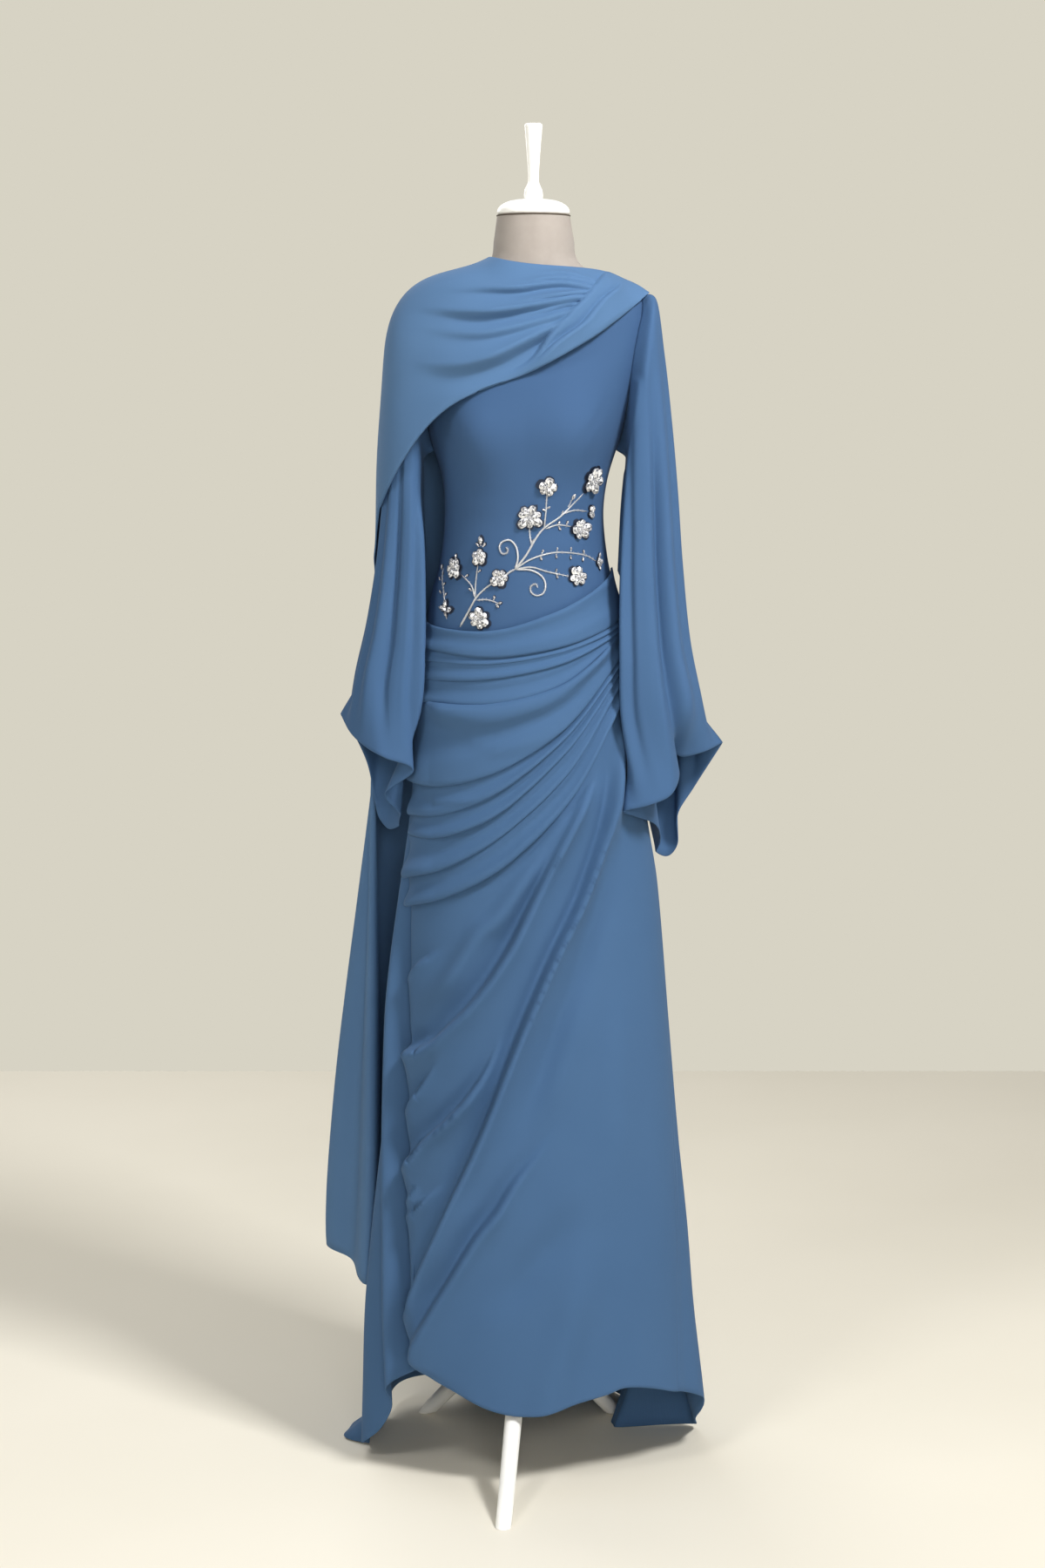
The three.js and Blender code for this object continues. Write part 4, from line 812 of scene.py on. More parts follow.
# The seam turning that lies under the front at each side, in radians, and how deep it is tucked
TURNING, TUCK = math.radians(3.4), 2.6
theta, z = panel_grid(np.linspace(0, 1, 110), np.linspace(0, 1, 270), back_place)
tucked = np.maximum(smooth(-0.2 * TURNING, 0.5 * TURNING, back_start(z) - theta),
                    smooth(-0.2 * TURNING, 0.5 * TURNING, theta - back_end(z)))
back_skirt_grid = skirt_body(theta, z) - facing(skirt_body, theta, z) * (TUCK * tucked)[..., None]
skirt_back = cloth("skirt_back_crepe", back_skirt_grid, skirt_crepe)
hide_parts("skirt_back")
for part in (skirt_front, skirt_back):
    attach(part, "root")


# The waist band and the hip drape: bias strips of the skirt's crepe, laid in deep folds, one over the other.
# Every fold runs from the left side seam into a tight gather at the right hip, and is stitched down at both.
PLEAT_CLOTH = 1.1  # thickness of the pleated cloth
FULL_FOLD = 60  # height of a fold that stands out in full
SLACK_RISE = 2.4  # rise of the soft slack inside a fold
# Rows inside each fold: share of the way to its edge, drop below the edge, and share of the rise
FOLD_ROWS = [
    (0.0, -1.5, 0.3), (0.08, 0, 0.26), (0.18, 0, 0.17), (0.28, 0, 0.12), (0.38, 0, 0.14), (0.48, 0, 0.22),
    (0.58, 0, 0.37), (0.68, 0, 0.57), (0.78, 0, 0.79), (0.87, 0, 0.94), (0.95, 0, 1.0), (1.0, 0.2, 0.96),
    (1.0, 1.8, 0.84), (1.0, 2.6, 0.68), (1.0, 2.4, 0.5), (1.0, 1.0, 0.36)]
# Softer folds on the pleats, written as the skirt's rolled folds are: on the band its turned top edge, and
# on the drape the slack of its first strip
BAND_FOLDS = [
    ([(118, 1210), (109, 1206), (69, 1189), (23, 1171), (-19, 1159), (-60, 1152)],
     1.6, 2.5, 7, 0.02, 0.4, -1)]
DRAPE_FOLDS = [
    ([(118, 1132), (103, 1118), (46, 1068), (0, 1049), (-46, 1038), (-92, 1042), (-127, 1053)],
     13, 20, 14, 0.1, 0.1, -1),
    ([(60, 1030), (20, 1008), (-20, 996), (-60, 1004), (-96, 1030)], 3, 8, 12, 0.3, 0.3, -1),
    ([(-50, 930), (-80, 924), (-112, 922)], 3, 4, 8, 0.5, 0, -1)]


def pleats(name, folds, under, columns, seed, slack):
    """A strip laid in folds over what lies beneath, raised by a gap. The seed sets how its folds wander."""
    rows, s = [], np.linspace(0, 1, columns)
    # The folds lie flatter in the gather at the right, and stay full up to the left seam
    ends = 0.35 + 0.65 * np.sqrt(np.sin(math.pi * np.clip(s, 0.02, 0.98)))
    ends = np.maximum(ends, 0.95 * (1 - smooth(0.1, 0.3, s)))
    rows.append((pleat_height(folds[0][0], s), np.zeros(columns)))
    for k, ((upper, _), (lower, rise)) in enumerate(zip(folds[:-1], folds[1:])):
        top, bottom = pleat_height(upper, s), pleat_height(lower, s)
        wander = 1 + 0.22 * np.sin(5.2 * s + seed + 1.9 * k) + 0.1 * np.sin(13.0 * s + 2.3 * k)
        tall = np.clip((top - bottom) / FULL_FOLD, 0.15, 1.6)
        for part, drop, share in FOLD_ROWS:
            soft = SLACK_RISE * tall * np.sin(2 * math.pi * (part * 1.5 + 0.25 * math.sin(k + seed)))
            soft = soft * np.sin(math.pi * s) * (part < 0.9)
            rows.append((top + (bottom - top) * part - drop * np.minimum(tall, 1),
                         rise * share * wander * (0.55 + 0.45 * np.minimum(tall, 1)) + np.maximum(soft, 0)))
    z = np.array([row[0] for row in rows])
    lift = np.array([row[1] for row in rows])
    left = np.maximum(PLEAT_LEFT, 1.5 - read(SKIRT, "z", "seam_left", np.minimum(z, WAIST_SEAM)))
    theta = np.radians(left + (PLEAT_RIGHT - left) * s[None])
    lift = lift * ends[None] + rolled(hull(theta, z)[..., 0], z, slack)
    grid = raised(hull, theta, z, under + CLOTH + np.maximum(lift, 0))
    return cloth(name, grid, skirt_crepe, thick=PLEAT_CLOTH)


waist_band = pleats("waist_band_crepe", BAND_PLEATS, 1, 140, 0.7, BAND_FOLDS)
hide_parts("waist_band")
hip_drape = pleats("hip_drape_crepe", DRAPE_PLEATS, 0.8, 150, 2.1, DRAPE_FOLDS)
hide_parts("hip_drape")
for part in (waist_band, hip_drape):
    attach(part, "root")


# The sleeves: wide bells cut in one piece, eased into the armholes and seamed under the arm.
# They fall in long soft folds to a slanted open hem, which is rolled and stitched by hand.

# Rings down each sleeve: share of its length, its outer and inner points across and up, half depths in front
# and behind, and depth of its folds
SLEEVES = {
    "right": table(
        "t out_x out_z in_x in_z front back fold",
        (0.06, 177, 1584, 138, 1374, 62, 60, 0), (0.14, 187, 1520, 136, 1350, 64, 62, 2.5),
        (0.27, 196, 1420, 134, 1306, 66, 64, 6.5), (0.4, 202, 1330, 133, 1254, 67, 64, 10),
        (0.55, 208, 1236, 131, 1190, 76, 66, 12), (0.7, 219, 1134, 130, 1112, 84, 68, 13),
        (0.84, 238, 1050, 130, 1020, 86, 68, 12)),
    "left": table(
        "t out_x out_z in_x in_z front back fold",
        (0.06, 161, 1556, 131, 1374, 60, 58, 0), (0.14, 169, 1500, 132, 1350, 62, 60, 1),
        (0.27, 177, 1420, 133, 1306, 62, 60, 3), (0.4, 182, 1330, 133, 1254, 63, 60, 9),
        (0.55, 190, 1240, 133, 1190, 64, 62, 12), (0.7, 203, 1156, 133, 1112, 66, 62, 13),
        (0.84, 220, 1086, 134, 1040, 68, 60, 12)),
}
# The cuffs' edges, by angle round the sleeve from its top
CUFFS = {
    "right": table(
        "angle x y z", (0, 271, 4, 992), (26, 246, -24, 983), (45, 215, -30, 976), (60, 199, -34, 984),
        (76, 210, -54, 958), (96, 198, -80, 932), (122, 164, -90, 918), (158, 132, -78, 908),
        (186, 156, -26, 885), (212, 168, 8, 860), (240, 180, 40, 838), (268, 200, 58, 828),
        (290, 214, 52, 846), (310, 213, 32, 890), (332, 236, 28, 930), (360, 271, 4, 992)),
    "left": table(
        "angle x y z", (0, 246, 0, 1031), (28, 231, -32, 1009), (54, 209, -54, 992), (80, 184, -68, 980),
        (114, 145, -60, 961), (142, 184, -34, 926), (174, 160, -12, 890), (208, 180, 26, 870),
        (236, 196, 42, 883), (264, 203, 44, 908), (296, 212, 36, 958), (330, 232, 24, 1006),
        (360, 246, 0, 1031)),
}
# Long folds down the front of each sleeve: share of the fold depth, angle and width in radians
LONG_FOLDS = [(0.7, 0.85, 0.25), (-1.5, 1.3, 0.24), (0.7, 2.1, 0.35)]
SLEEVE_WAVES = 7  # soft folds round each sleeve
BODY_GAP, PLEAT_ROOM = 1.5, 13.5  # a sleeve's distance from the body, and more where the pleats stand out


def beside_body(p, gap):
    """Moves points out of the room that the bodice, the skirt and the pleats take."""
    x, y, z = p[..., 0], p[..., 1], p[..., 2]
    low = z < WAIST_SEAM

    def form(column):
        return read(FORM, "z", column, np.maximum(z, WAIST_SEAM))

    def part(column):
        return read(SKIRT, "z", column, z)

    shift = np.where(low, 0, form("shift"))
    half = np.where(low, np.where(x > 0, part("right"), part("left")), form("half") + FIT + CLOTH)
    depth = np.where(low, np.where(y < 0, part("front"), part("back")),
                     np.where(y < 0, form("front"), form("back")) + FIT + CLOTH)
    out = np.maximum(np.hypot((x - shift) / half, y / depth), 1e-6)
    radius = np.hypot(x - shift, y) / out
    clear = gap + PLEAT_ROOM * (1 - smooth(1200, 1260, z)) * smooth(760, 850, z)
    grow = np.maximum(1, (1 + clear / radius) / out)
    return np.stack([shift + (x - shift) * grow, y * grow, z], -1)


def sleeve_grid(side_name, rows, cols):
    """The outer face of a sleeve, from the armhole through its rings to the cuff."""
    side = 1 if side_name == "right" else -1
    a = np.linspace(0, 2 * math.pi, cols, endpoint=False)
    cosine, sine = np.cos(a), np.sin(a)
    middle_z, half_z = (SHOULDER_TIP + UNDERARM) / 2, (SHOULDER_TIP - UNDERARM) / 2
    z = middle_z + half_z * cosine
    reach = armhole_reach(z)
    turning = 2.2 * seam_angle(z)
    ring = bodice(side * np.where(sine >= 0, reach - turning, math.pi - reach + turning), z)
    marks, keys = [ring + facing(torso, np.arctan2(ring[:, 0], -ring[:, 1]), z) * 0.2], [0.0]
    cut, cuff = SLEEVES[side_name], CUFFS[side_name]
    count = len(cut["t"])
    for k in range(count):
        row = {column: values[k] for column, values in cut.items()}
        square = np.where(cosine < 0, -np.sqrt(np.maximum(-cosine, 0)), cosine)
        x = (row["out_x"] + row["in_x"]) / 2 + (row["out_x"] - row["in_x"]) / 2 * square
        z = (row["out_z"] + row["in_z"]) / 2 + (row["out_z"] - row["in_z"]) / 2 * cosine
        depth = np.where(sine > 0, row["front"], row["back"])
        # Its soft folds are uneven waves round the ring, which drift a little from one ring to the next
        turn = SLEEVE_WAVES * (a + 0.4) + 0.7 * np.sin(2 * a + 0.6 * k / count + side) + 0.25 * k / count
        wave = np.cos(turn) + 0.35 * np.cos(2 * turn + 0.8) + 0.16 * np.cos(3 * a + 1.3)
        long_folds = sum(share * bell((a - at) / width) for share, at, width in LONG_FOLDS)
        fold = row["fold"] * (0.6 * wave * (0.8 + 0.25 * np.sin(3 * a + k * 0.35)) + long_folds)
        marks.append(np.stack([side * (x + fold * cosine), -(depth + fold) * sine, z], -1))
        keys.append(row["t"])
    turn = np.degrees(a)
    marks.append(np.stack([side * read(cuff, "angle", "x", turn), read(cuff, "angle", "y", turn),
                           read(cuff, "angle", "z", turn)], -1))
    keys.append(1.0)
    t = np.linspace(0, 1, rows)
    grid = along(np.array(keys), np.array(marks), t)
    clear = beside_body(grid, BODY_GAP)
    return np.where((t > 0.04)[:, None, None], clear, grid)


sleeve_crepe = crepe("sleeve_crepe", tone(68, 99, 137), tone(58, 89, 128))
sleeves, sleeve_grids = {}, {}
for side_name, sign, cut, area in (("right", 1, (0.56, 0.78), 0.28), ("left", -1, (0.52, 0.68), 0.21)):
    sleeve_grids[side_name] = sleeve_grid(side_name, 130, 132)
    sleeve = cloth("sleeve_" + side_name + "_crepe", sleeve_grids[side_name], sleeve_crepe, sign,
                   closed=True)
    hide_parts("sleeve_" + side_name)
    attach(sleeve, "root")
    sleeves[side_name] = sleeve


# The shawl: one long piece of the same crepe, gathered small and stitched down on the right shoulder.
# It crosses the chest in soft cowl folds, covers the left shoulder and arm, and hangs behind as a tail.

# Its course by share of its length: places across it from the neck's side, n, over p and q to its free edge
SHAWL = table(
    "s nx ny nz px py pz qx qy qz ex ey ez",
    (0, 132, 4, 1610, 146, -2, 1604, 157, -6, 1598, 168, -9, 1590),
    (0.06, 112, -30, 1619, 117, -56, 1602, 121, -72, 1578, 122, -80, 1553),
    (0.12, 66, -60, 1622, 68, -80, 1594, 70, -94, 1558, 72, -102, 1520),
    (0.2, 4, -66, 1626, 4, -88, 1582, 2, -103, 1532, 0, -113, 1476),
    (0.26, -28, -56, 1632, -44, -84, 1578, -60, -102, 1516, -74, -112, 1457),
    (0.33, -41, -24, 1636, -105, -54, 1597, -136, -72, 1500, -130, -90, 1412),
    (0.4, -44, 10, 1632, -156, -12, 1593, -181, -38, 1491, -184, -62, 1318),
    (0.46, -39, 40, 1627, -153, 28, 1591, -187, 18, 1463, -197, 6, 1272),
    (0.53, -20, 72, 1604, -98, 84, 1556, -172, 66, 1380, -200, 46, 1180),
    (0.62, 14, 112, 1490, -64, 128, 1390, -158, 112, 1210, -208, 74, 1020),
    (0.74, 34, 146, 1120, -60, 162, 1010, -213, 116, 800, -199, 52, 760),
    (0.88, 36, 206, 640, -82, 208, 580, -250, 104, 530, -194, 8, 478),
    (1, 24, 262, 190, -118, 252, 205, -277, 98, 262, -189, -16, 208))
# Cowl folds over the chest, written as the skirt's rolled folds are
COWL_FOLDS = [
    ([(98, 1601), (70, 1610), (40, 1614), (10, 1612)], 4, 4, 6, 0.05, 0.6, -1),
    ([(100, 1597), (72, 1604), (42, 1606), (5, 1602), (-30, 1601)], 5, 4, 6, 0.05, 0.6, -1),
    ([(104, 1592), (90, 1593), (55, 1599), (29, 1598), (-6, 1593), (-53, 1593), (-111, 1592)],
     9, 5, 9, 0.05, 0.5, -1),
    ([(104, 1588), (88, 1589), (46, 1583), (12, 1579), (-17, 1573)], 6, 4, 6, 0.05, 0.6, -1),
    ([(102, 1584), (81, 1582), (55, 1578), (12, 1570), (-23, 1564), (-53, 1562), (-105, 1567),
      (-147, 1573)], 13, 7, 13, 0.05, 0.5, -1),
    ([(96, 1580), (77, 1574), (55, 1572), (12, 1560), (-28, 1554)], 4, 4, 6, 0.05, 0.6, -1),
    ([(92, 1575), (57, 1562), (12, 1549), (-23, 1540), (-58, 1535), (-105, 1540), (-141, 1548)],
     7, 8, 13, 0.1, 0.5, -1),
    ([(90, 1572), (79, 1564), (55, 1551), (29, 1539), (-6, 1521), (-32, 1508), (-58, 1499), (-84, 1495),
      (-122, 1497), (-147, 1506)], 16, 11, 20, 0.08, 0.45, -1)]
# The roll: two turned bands of cloth along the lower edge, which cover the ends of the gathers
ROLLS = [
    ([(120, 1622), (104, 1606), (90, 1588), (75, 1571), (57, 1551), (36, 1530), (21, 1508), (5, 1493),
      (-20, 1478)], 11, 5, 26, 0.14, 0.4, 1),
    ([(136, 1608), (123, 1593), (104, 1577), (90, 1560), (76, 1544), (45, 1521), (25, 1502), (9, 1490),
      (-12, 1478)], 9, 4, 20, 0.14, 0.4, 1)]
TAIL_FOLDS = {"count": 4.5, "depth": 18}
# The shawl's distance from what it lies on, while it settles, once it has, and with its folds
SETTLING_GAP, SETTLED_GAP, FOLDED_GAP = 3.0, 2.6, 2.0


def under_tree(grids):
    """The outer faces of the pieces beneath, to feel for them."""
    points, faces = [], []
    for grid, sign, closed in grids:
        rows, cols = grid.shape[:2]
        first = len(points)
        points.extend(Vector(p) for p in grid.reshape(-1, 3))
        wide = cols if closed else cols - 1
        for i in range(rows - 1):
            for j in range(wide):
                upper, lower, k = first + i * cols, first + (i + 1) * cols, (j + 1) % cols
                face = [upper + j, upper + k, lower + k, lower + j]
                faces.append(face if sign > 0 else face[::-1])
    return BVHTree.FromPolygons(points, faces)


def cleared(grid, tree, gap, deep=60, astray=25):
    """Moves points out until they clear the pieces beneath by a gap. Points far off or astray stay put."""
    grid = grid.copy()
    for i in range(grid.shape[0]):
        for j in range(grid.shape[1]):
            p = Vector(grid[i, j])
            near, out, _, far = tree.find_nearest(p)
            if near is None:
                continue
            height = (p - near).dot(out)
            if height < gap and far < deep and ((p - near) - out * height).length < astray:
                grid[i, j] = p + out * (gap - height)
    return grid


def relaxed(grid, times, share=0.5):
    """Smooths a grid by moving each point a share of the way to the middle of its neighbours."""
    for _ in range(times):
        mean = grid.copy()
        mean[1:-1, 1:-1] = (grid[2:, 1:-1] + grid[:-2, 1:-1] + grid[1:-1, 2:] + grid[1:-1, :-2]) / 4
        mean[0, 1:-1] = (grid[0, 2:] + grid[0, :-2]) / 2
        mean[-1, 1:-1] = (grid[-1, 2:] + grid[-1, :-2]) / 2
        mean[1:-1, 0] = (grid[2:, 0] + grid[:-2, 0]) / 2
        mean[1:-1, -1] = (grid[2:, -1] + grid[:-2, -1]) / 2
        grid = grid + (mean - grid) * share
    return grid


def shawl_base(s, v):
    """The shawl without its folds, by share of its length and of its width."""
    keys = np.linspace(0, 1, 4)
    marks = np.stack([np.stack([read(SHAWL, "s", m + axis, s) for axis in "xyz"], -1) for m in "npqe"])
    return along(keys, marks, v).transpose(1, 0, 2)


# What the shawl lies on: the bodice, the skirt, the form's neck and both sleeves
full = np.linspace(0, 2 * math.pi, 121)
heights = np.linspace(WAIST_SEAM, NECK_EDGE, 60)[:, None]
low_heights = np.linspace(60, WAIST_SEAM, 70)[:, None]
neck_heights = np.linspace(1612, 1684, 10)[:, None]
tree = under_tree([
    (bodice(full[None], heights), 1, False), (skirt_body(full[None], low_heights), 1, False),
    (torso(full[None], neck_heights), 1, False), (sleeve_grids["right"], 1, True),
    (sleeve_grids["left"], -1, True)])
s = np.concatenate([np.linspace(0, 0.5, 130), np.linspace(0.5, 1, 90)[1:]])
v = np.linspace(0, 1, 96)
# It settles over them in a few rounds of clearing and smoothing, on every third row and column
rough_s, rough_v = s[::3], v[::3]
rough = shawl_base(rough_s, rough_v)
for turns in (10, 6, 3):
    rough = relaxed(cleared(rough, tree, SETTLING_GAP), turns)
rough = cleared(rough, tree, SETTLED_GAP)
fine = along(rough_v, along(rough_s, rough, s).transpose(1, 0, 2), v).transpose(1, 0, 2)
# Its folds: the cowl up to the roll's edge, the roll, the tail, and a slight unevenness on the shoulder
down, across = np.meshgrid(s, v, indexing="ij")
lift = np.zeros(down.shape)
on_chest = smooth(0.015, 0.05, down) * (1 - smooth(0.36, 0.46, down))
far, _, side = away_from(fine[..., 0], fine[..., 2], curved(ROLLS[0][0]))
lift += rolled(fine[..., 0], fine[..., 2], COWL_FOLDS) * on_chest * smooth(-1, 6, -far * side)
lift += rolled(fine[..., 0], fine[..., 2], ROLLS) * on_chest * (1 - smooth(0.2, 0.3, down))
turn = 2 * math.pi * TAIL_FOLDS["count"] * (across + 0.04 * np.sin(5 * across + 3 * down))
lift += TAIL_FOLDS["depth"] * smooth(0.5, 0.95, down) * (1 - np.cos(turn)) / 2
lift *= 0.3 + 0.7 * smooth(0, 0.1, across)
on_shoulder = smooth(0.2, 0.35, down) * (1 - smooth(0.42, 0.55, down))
lift += 1.6 * on_shoulder * np.sin(9 * across + 7 * down) ** 2
folded = fine + square_to(fine, False, -1) * lift[..., None]
shawl_grid = cleared(folded, tree, FOLDED_GAP)
# The shawl is the same crepe as the rest, given lighter tones as painted light
shawl_crepe = crepe("shawl_crepe", tone(83, 116, 154), tone(73, 105, 143))
shawl = cloth("shawl_crepe", shawl_grid + square_to(shawl_grid, False, -1) * CLOTH, shawl_crepe, -1)
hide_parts("shawl")
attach(shawl, "root")


# The trim: two sprays sewn on the bodice. Their stems are cords of twisted silver thread, couched down.
# The flowers are cut petals round a middle stone, with drop stones as leaves and buds. Under each petal and
# leaf lies a dark metal setting, made larger than the stone so that its rim shows round it as a painted
# shadow outline.

# Stems: line across and up, and the cord's radius at its first and last end
STEMS = {
    "spray_upper": [
        ([(-10, 1231), (5, 1250), (17, 1271), (28, 1285), (49, 1300), (64, 1315), (80, 1331)], 1.7, 1.0),
        ([(28, 1285), (30, 1303), (31, 1319), (32, 1332)], 1.2, 0.8),
        ([(12, 1263), (10, 1273), (9, 1286)], 1.0, 0.8),
        ([(53, 1304), (68, 1308), (85, 1306)], 1.1, 0.8),
        ([(59, 1312), (62, 1318), (64, 1324)], 0.9, 0.7),
        ([(30, 1284), (46, 1289), (65, 1286)], 1.2, 0.8),
        ([(-10, 1231), (-6, 1245), (-8, 1260), (-16, 1269), (-26, 1267), (-30, 1260), (-27, 1252),
          (-21, 1252), (-19, 1257), (-22, 1260)], 1.4, 0.9),
        ([(-10, 1231), (11, 1230), (25, 1222), (30, 1211), (27, 1200), (18, 1197), (11, 1202), (11, 1209),
          (17, 1212), (20, 1207)], 1.4, 0.9),
        ([(-10, 1231), (8, 1243), (27, 1250), (46, 1253), (68, 1251), (84, 1247), (97, 1239)], 1.3, 0.8),
        ([(-10, 1231), (11, 1234), (32, 1228), (49, 1224), (65, 1220)], 1.3, 0.8),
        ([(-23, 1222), (-16, 1228), (-10, 1231)], 1.3, 1.3)],
    "spray_lower": [
        ([(-82, 1154), (-72, 1172), (-61, 1192), (-49, 1205), (-34, 1216)], 1.7, 1.1),
        ([(-62, 1193), (-61, 1212), (-58, 1238)], 1.2, 0.8),
        ([(-62, 1193), (-67, 1209), (-80, 1222)], 1.2, 0.8),
        ([(-60, 1190), (-46, 1191), (-32, 1187)], 1.1, 0.7),
        ([(-100, 1163), (-102, 1182), (-104, 1199), (-106, 1214), (-105, 1228)], 1.1, 0.7)],
}
# The first eleven flowers: place across and up, radius, petals
FLOWERS = [
    (91, 1349, 16.5, 6), (32, 1339, 11.5, 5), (9, 1300, 15.5, 7), (90, 1305, 7.5, 4), (75, 1283, 13.8, 6),
    (101, 1238, 6.5, 4), (72, 1220, 12.3, 6), (-56, 1247, 10.3, 5), (-89, 1230, 13.8, 6),
    (-29, 1220, 11.3, 5), (-56, 1166, 12.5, 6)]
# Leaves and buds: place across and up, the way they point in degrees from upright, and length
LEAVES = [
    (26, 1254, 20, 5), (24, 1246, 160, 5), (45, 1257, 10, 5), (44, 1248, 170, 5), (63, 1256, 0, 5),
    (63, 1246, 180, 5), (80, 1252, -10, 5), (79, 1243, 190, 5), (44, 1229, 15, 4.5), (45, 1222, 165, 4.5),
    (47, 1291, 30, 5), (48, 1285, 150, 5), (58, 1291, 20, 5), (28, 1309, -60, 5), (33, 1312, 60, 5),
    (-37, 1193, 10, 5.5), (-33, 1184, 140, 5.5), (-30, 1187, 80, 6), (-106, 1229, 5, 6.5),
    (-109, 1214, -40, 5), (-103, 1208, 50, 5), (-108, 1197, -45, 5), (-101, 1195, 50, 5),
    (-73, 1221, 60, 5), (-68, 1203, -50, 5), (13, 1268, 50, 4.5), (-56, 1228, 50, 4.5), (65, 1325, 20, 9),
    (-54, 1266, 0, 12), (-50, 1262, 40, 6), (-58, 1262, -40, 6), (-87, 1245, 5, 7),
    # The twelfth flower is half open, and these four drops are its petals
    (-101, 1180, 12, 13), (-103, 1176, -70, 13), (-97, 1175, 75, 14), (-101, 1171, 150, 9),
    (101, 1245, 10, 7), (101, 1231, 170, 7), (-105, 1221, 30, 4), (52, 1306, 20, 4)]


def on_bodice(x, z, lift=0.0):
    """Places on the bodice's front given across and up, moved out by a lift, and the way out there."""
    x, z = np.asarray(x, float), np.asarray(z, float)
    half = read(FORM, "z", "half", z) + FIT + CLOTH
    theta = np.arcsin(np.clip((x - read(FORM, "z", "shift", z)) / half, -0.98, 0.98))
    for _ in range(4):
        here, beside = bodice(theta, z)[..., 0], bodice(theta + 0.01, z)[..., 0]
        theta = theta + np.clip((x - here) / (beside - here), -20, 20) * 0.01
    out = facing(torso, theta, z)
    return bodice(theta, z) + out * (FRONT_PROUD + lift), out


def silver_thread():
    finish = Finish("silver_thread", Roughness=0.34, Metallic=0.35)
    lay = finish.node("ShaderNodeMapping", {}, {"Vector": finish.coordinate("UV"), "Rotation": (0, 0, 0.9)})
    strands = finish.node("ShaderNodeTexWave", {"wave_type": "BANDS", "bands_direction": "X"},
                          {"Vector": lay.outputs[0], "Scale": 210.0, "Distortion": 0.6})
    twist = Shade(finish, strands.outputs[1])
    # Painted shade and highlight: the colour follows the relief's bands, grey in the grooves between the
    # strands and white on their crowns
    finish.feed(Base_Color=finish.between(twist, tone(196, 198, 204), tone(255, 255, 255)))
    finish.feed(Roughness=0.45 - 0.18 * twist)
    finish.feed(Normal=finish.relief(twist, 0.0006, 0.9))
    return finish.material


# The cord: its sides, its steps from point to point, and the share of its given radius that it is laid with
CORD_SIDES, CORD_STEPS, CORD_TIGHTNESS = 10, 12, 0.82


def stem_parts(line, first, last):
    """A cord laid along a bent line on the bodice, with a map along and round it."""
    flat = curved(line, CORD_STEPS * (len(line) - 1) + 1)
    path, out = on_bodice(flat[:, 0], flat[:, 1])
    run = unit(np.gradient(path, axis=0))
    side = unit(np.cross(run, out))
    share = np.linspace(0, 1, len(path))
    radius = CORD_TIGHTNESS * (first + (last - first) * share)
    radius = radius * np.minimum(1, 0.35 + 6 * np.minimum(share, 1 - share) * len(line) / 3)
    turns = np.linspace(0, 2 * math.pi, CORD_SIDES, endpoint=False)
    rings = [p + n * (r * 0.85) + r * (np.cos(turns)[:, None] * b + np.sin(turns)[:, None] * n)
             for p, n, b, r in zip(path, out, side, radius)]
    along_cord = np.concatenate([[0], np.cumsum(np.linalg.norm(np.diff(path, axis=0), axis=1))])
    places = []
    for i in range(len(path) - 1):
        for j in range(CORD_SIDES):
            corners = ((i, j), (i, j + 1), (i + 1, j + 1), (i + 1, j))
            places += [(along_cord[a] / 1000, b * 0.001) for a, b in corners]
    for i in (0, len(path) - 1):
        places += [(along_cord[i] / 1000, j * 0.001) for j in range(CORD_SIDES) for _ in range(3)]
    return ring_mesh(rings), places, path, out, run


# Couching stitches sit on every fourth point of a stem, given by place, way along and way out
thread = silver_thread()
couching = []
for spray_name, stems in STEMS.items():
    made = [stem_parts(*stem) for stem in stems]
    spray = piece(spray_name + "_cord", *joined([parts for parts, *_ in made]), thread)
    layer = spray.data.uv_layers.new(name="lay")
    lay = [place for _, places, *_ in made for place in places]
    layer.data.foreach_set("uv", np.array(lay, np.float32).ravel())
    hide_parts(spray_name)
    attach(spray, "root")
    for _, _, path, out, run in made:
        for i in range(3, len(path) - 2, 4):
            couching.append((path[i] + out[i], run[i], out[i]))


def gem(name, outline, ridge, crown, material, seed):
    """A faceted stone from its outline, its ridge points and its crown's height. Each facet gets a random
    brightness, which the crystal finish paints as glints and reflections.
    """
    count = len(outline)
    outline = np.array(outline, float)
    # The rim is the outline itself. The base is drawn in below it, and the step above it, towards the ridge
    rim = [(x, y, 0.12) for x, y in outline]
    base = [(x * 0.86, y * 0.9 + 0.03, 0.0) for x, y in outline]
    step = [(x * 0.72, ridge[0][1] + (y - ridge[0][1]) * 0.72, crown * 0.72) for x, y in outline]
    points = base + rim + step + [(x, y, crown) for x, y in ridge]
    faces = [tuple(range(count))[::-1]]
    for i in range(count):
        k = (i + 1) % count
        faces += [(i, k, count + k), (i, count + k, count + i)]
        faces += [(count + i, count + k, 2 * count + k), (count + i, 2 * count + k, 2 * count + i)]
        top = [3 * count + int(np.argmin([math.dist(peak, outline[j]) for peak in ridge])) for j in (i, k)]
        faces.append((2 * count + i, 2 * count + k, top[1]))
        if top[0] != top[1]:
            faces.append((2 * count + i, top[1], top[0]))
    mesh = bpy.data.meshes.new(name)
    mesh.from_pydata(points, [], faces)
    mesh.validate()
    # Painted reflections: a random brightness for each facet
    painted_glints = mesh.attributes.new("facet", "FLOAT", "FACE")
    glint_brightness = np.random.default_rng(seed).random(len(mesh.polygons))
    painted_glints.data.foreach_set("value", glint_brightness.astype(np.float32))
    mesh.materials.append(material)
    return bpy.data.objects.new(name, mesh)


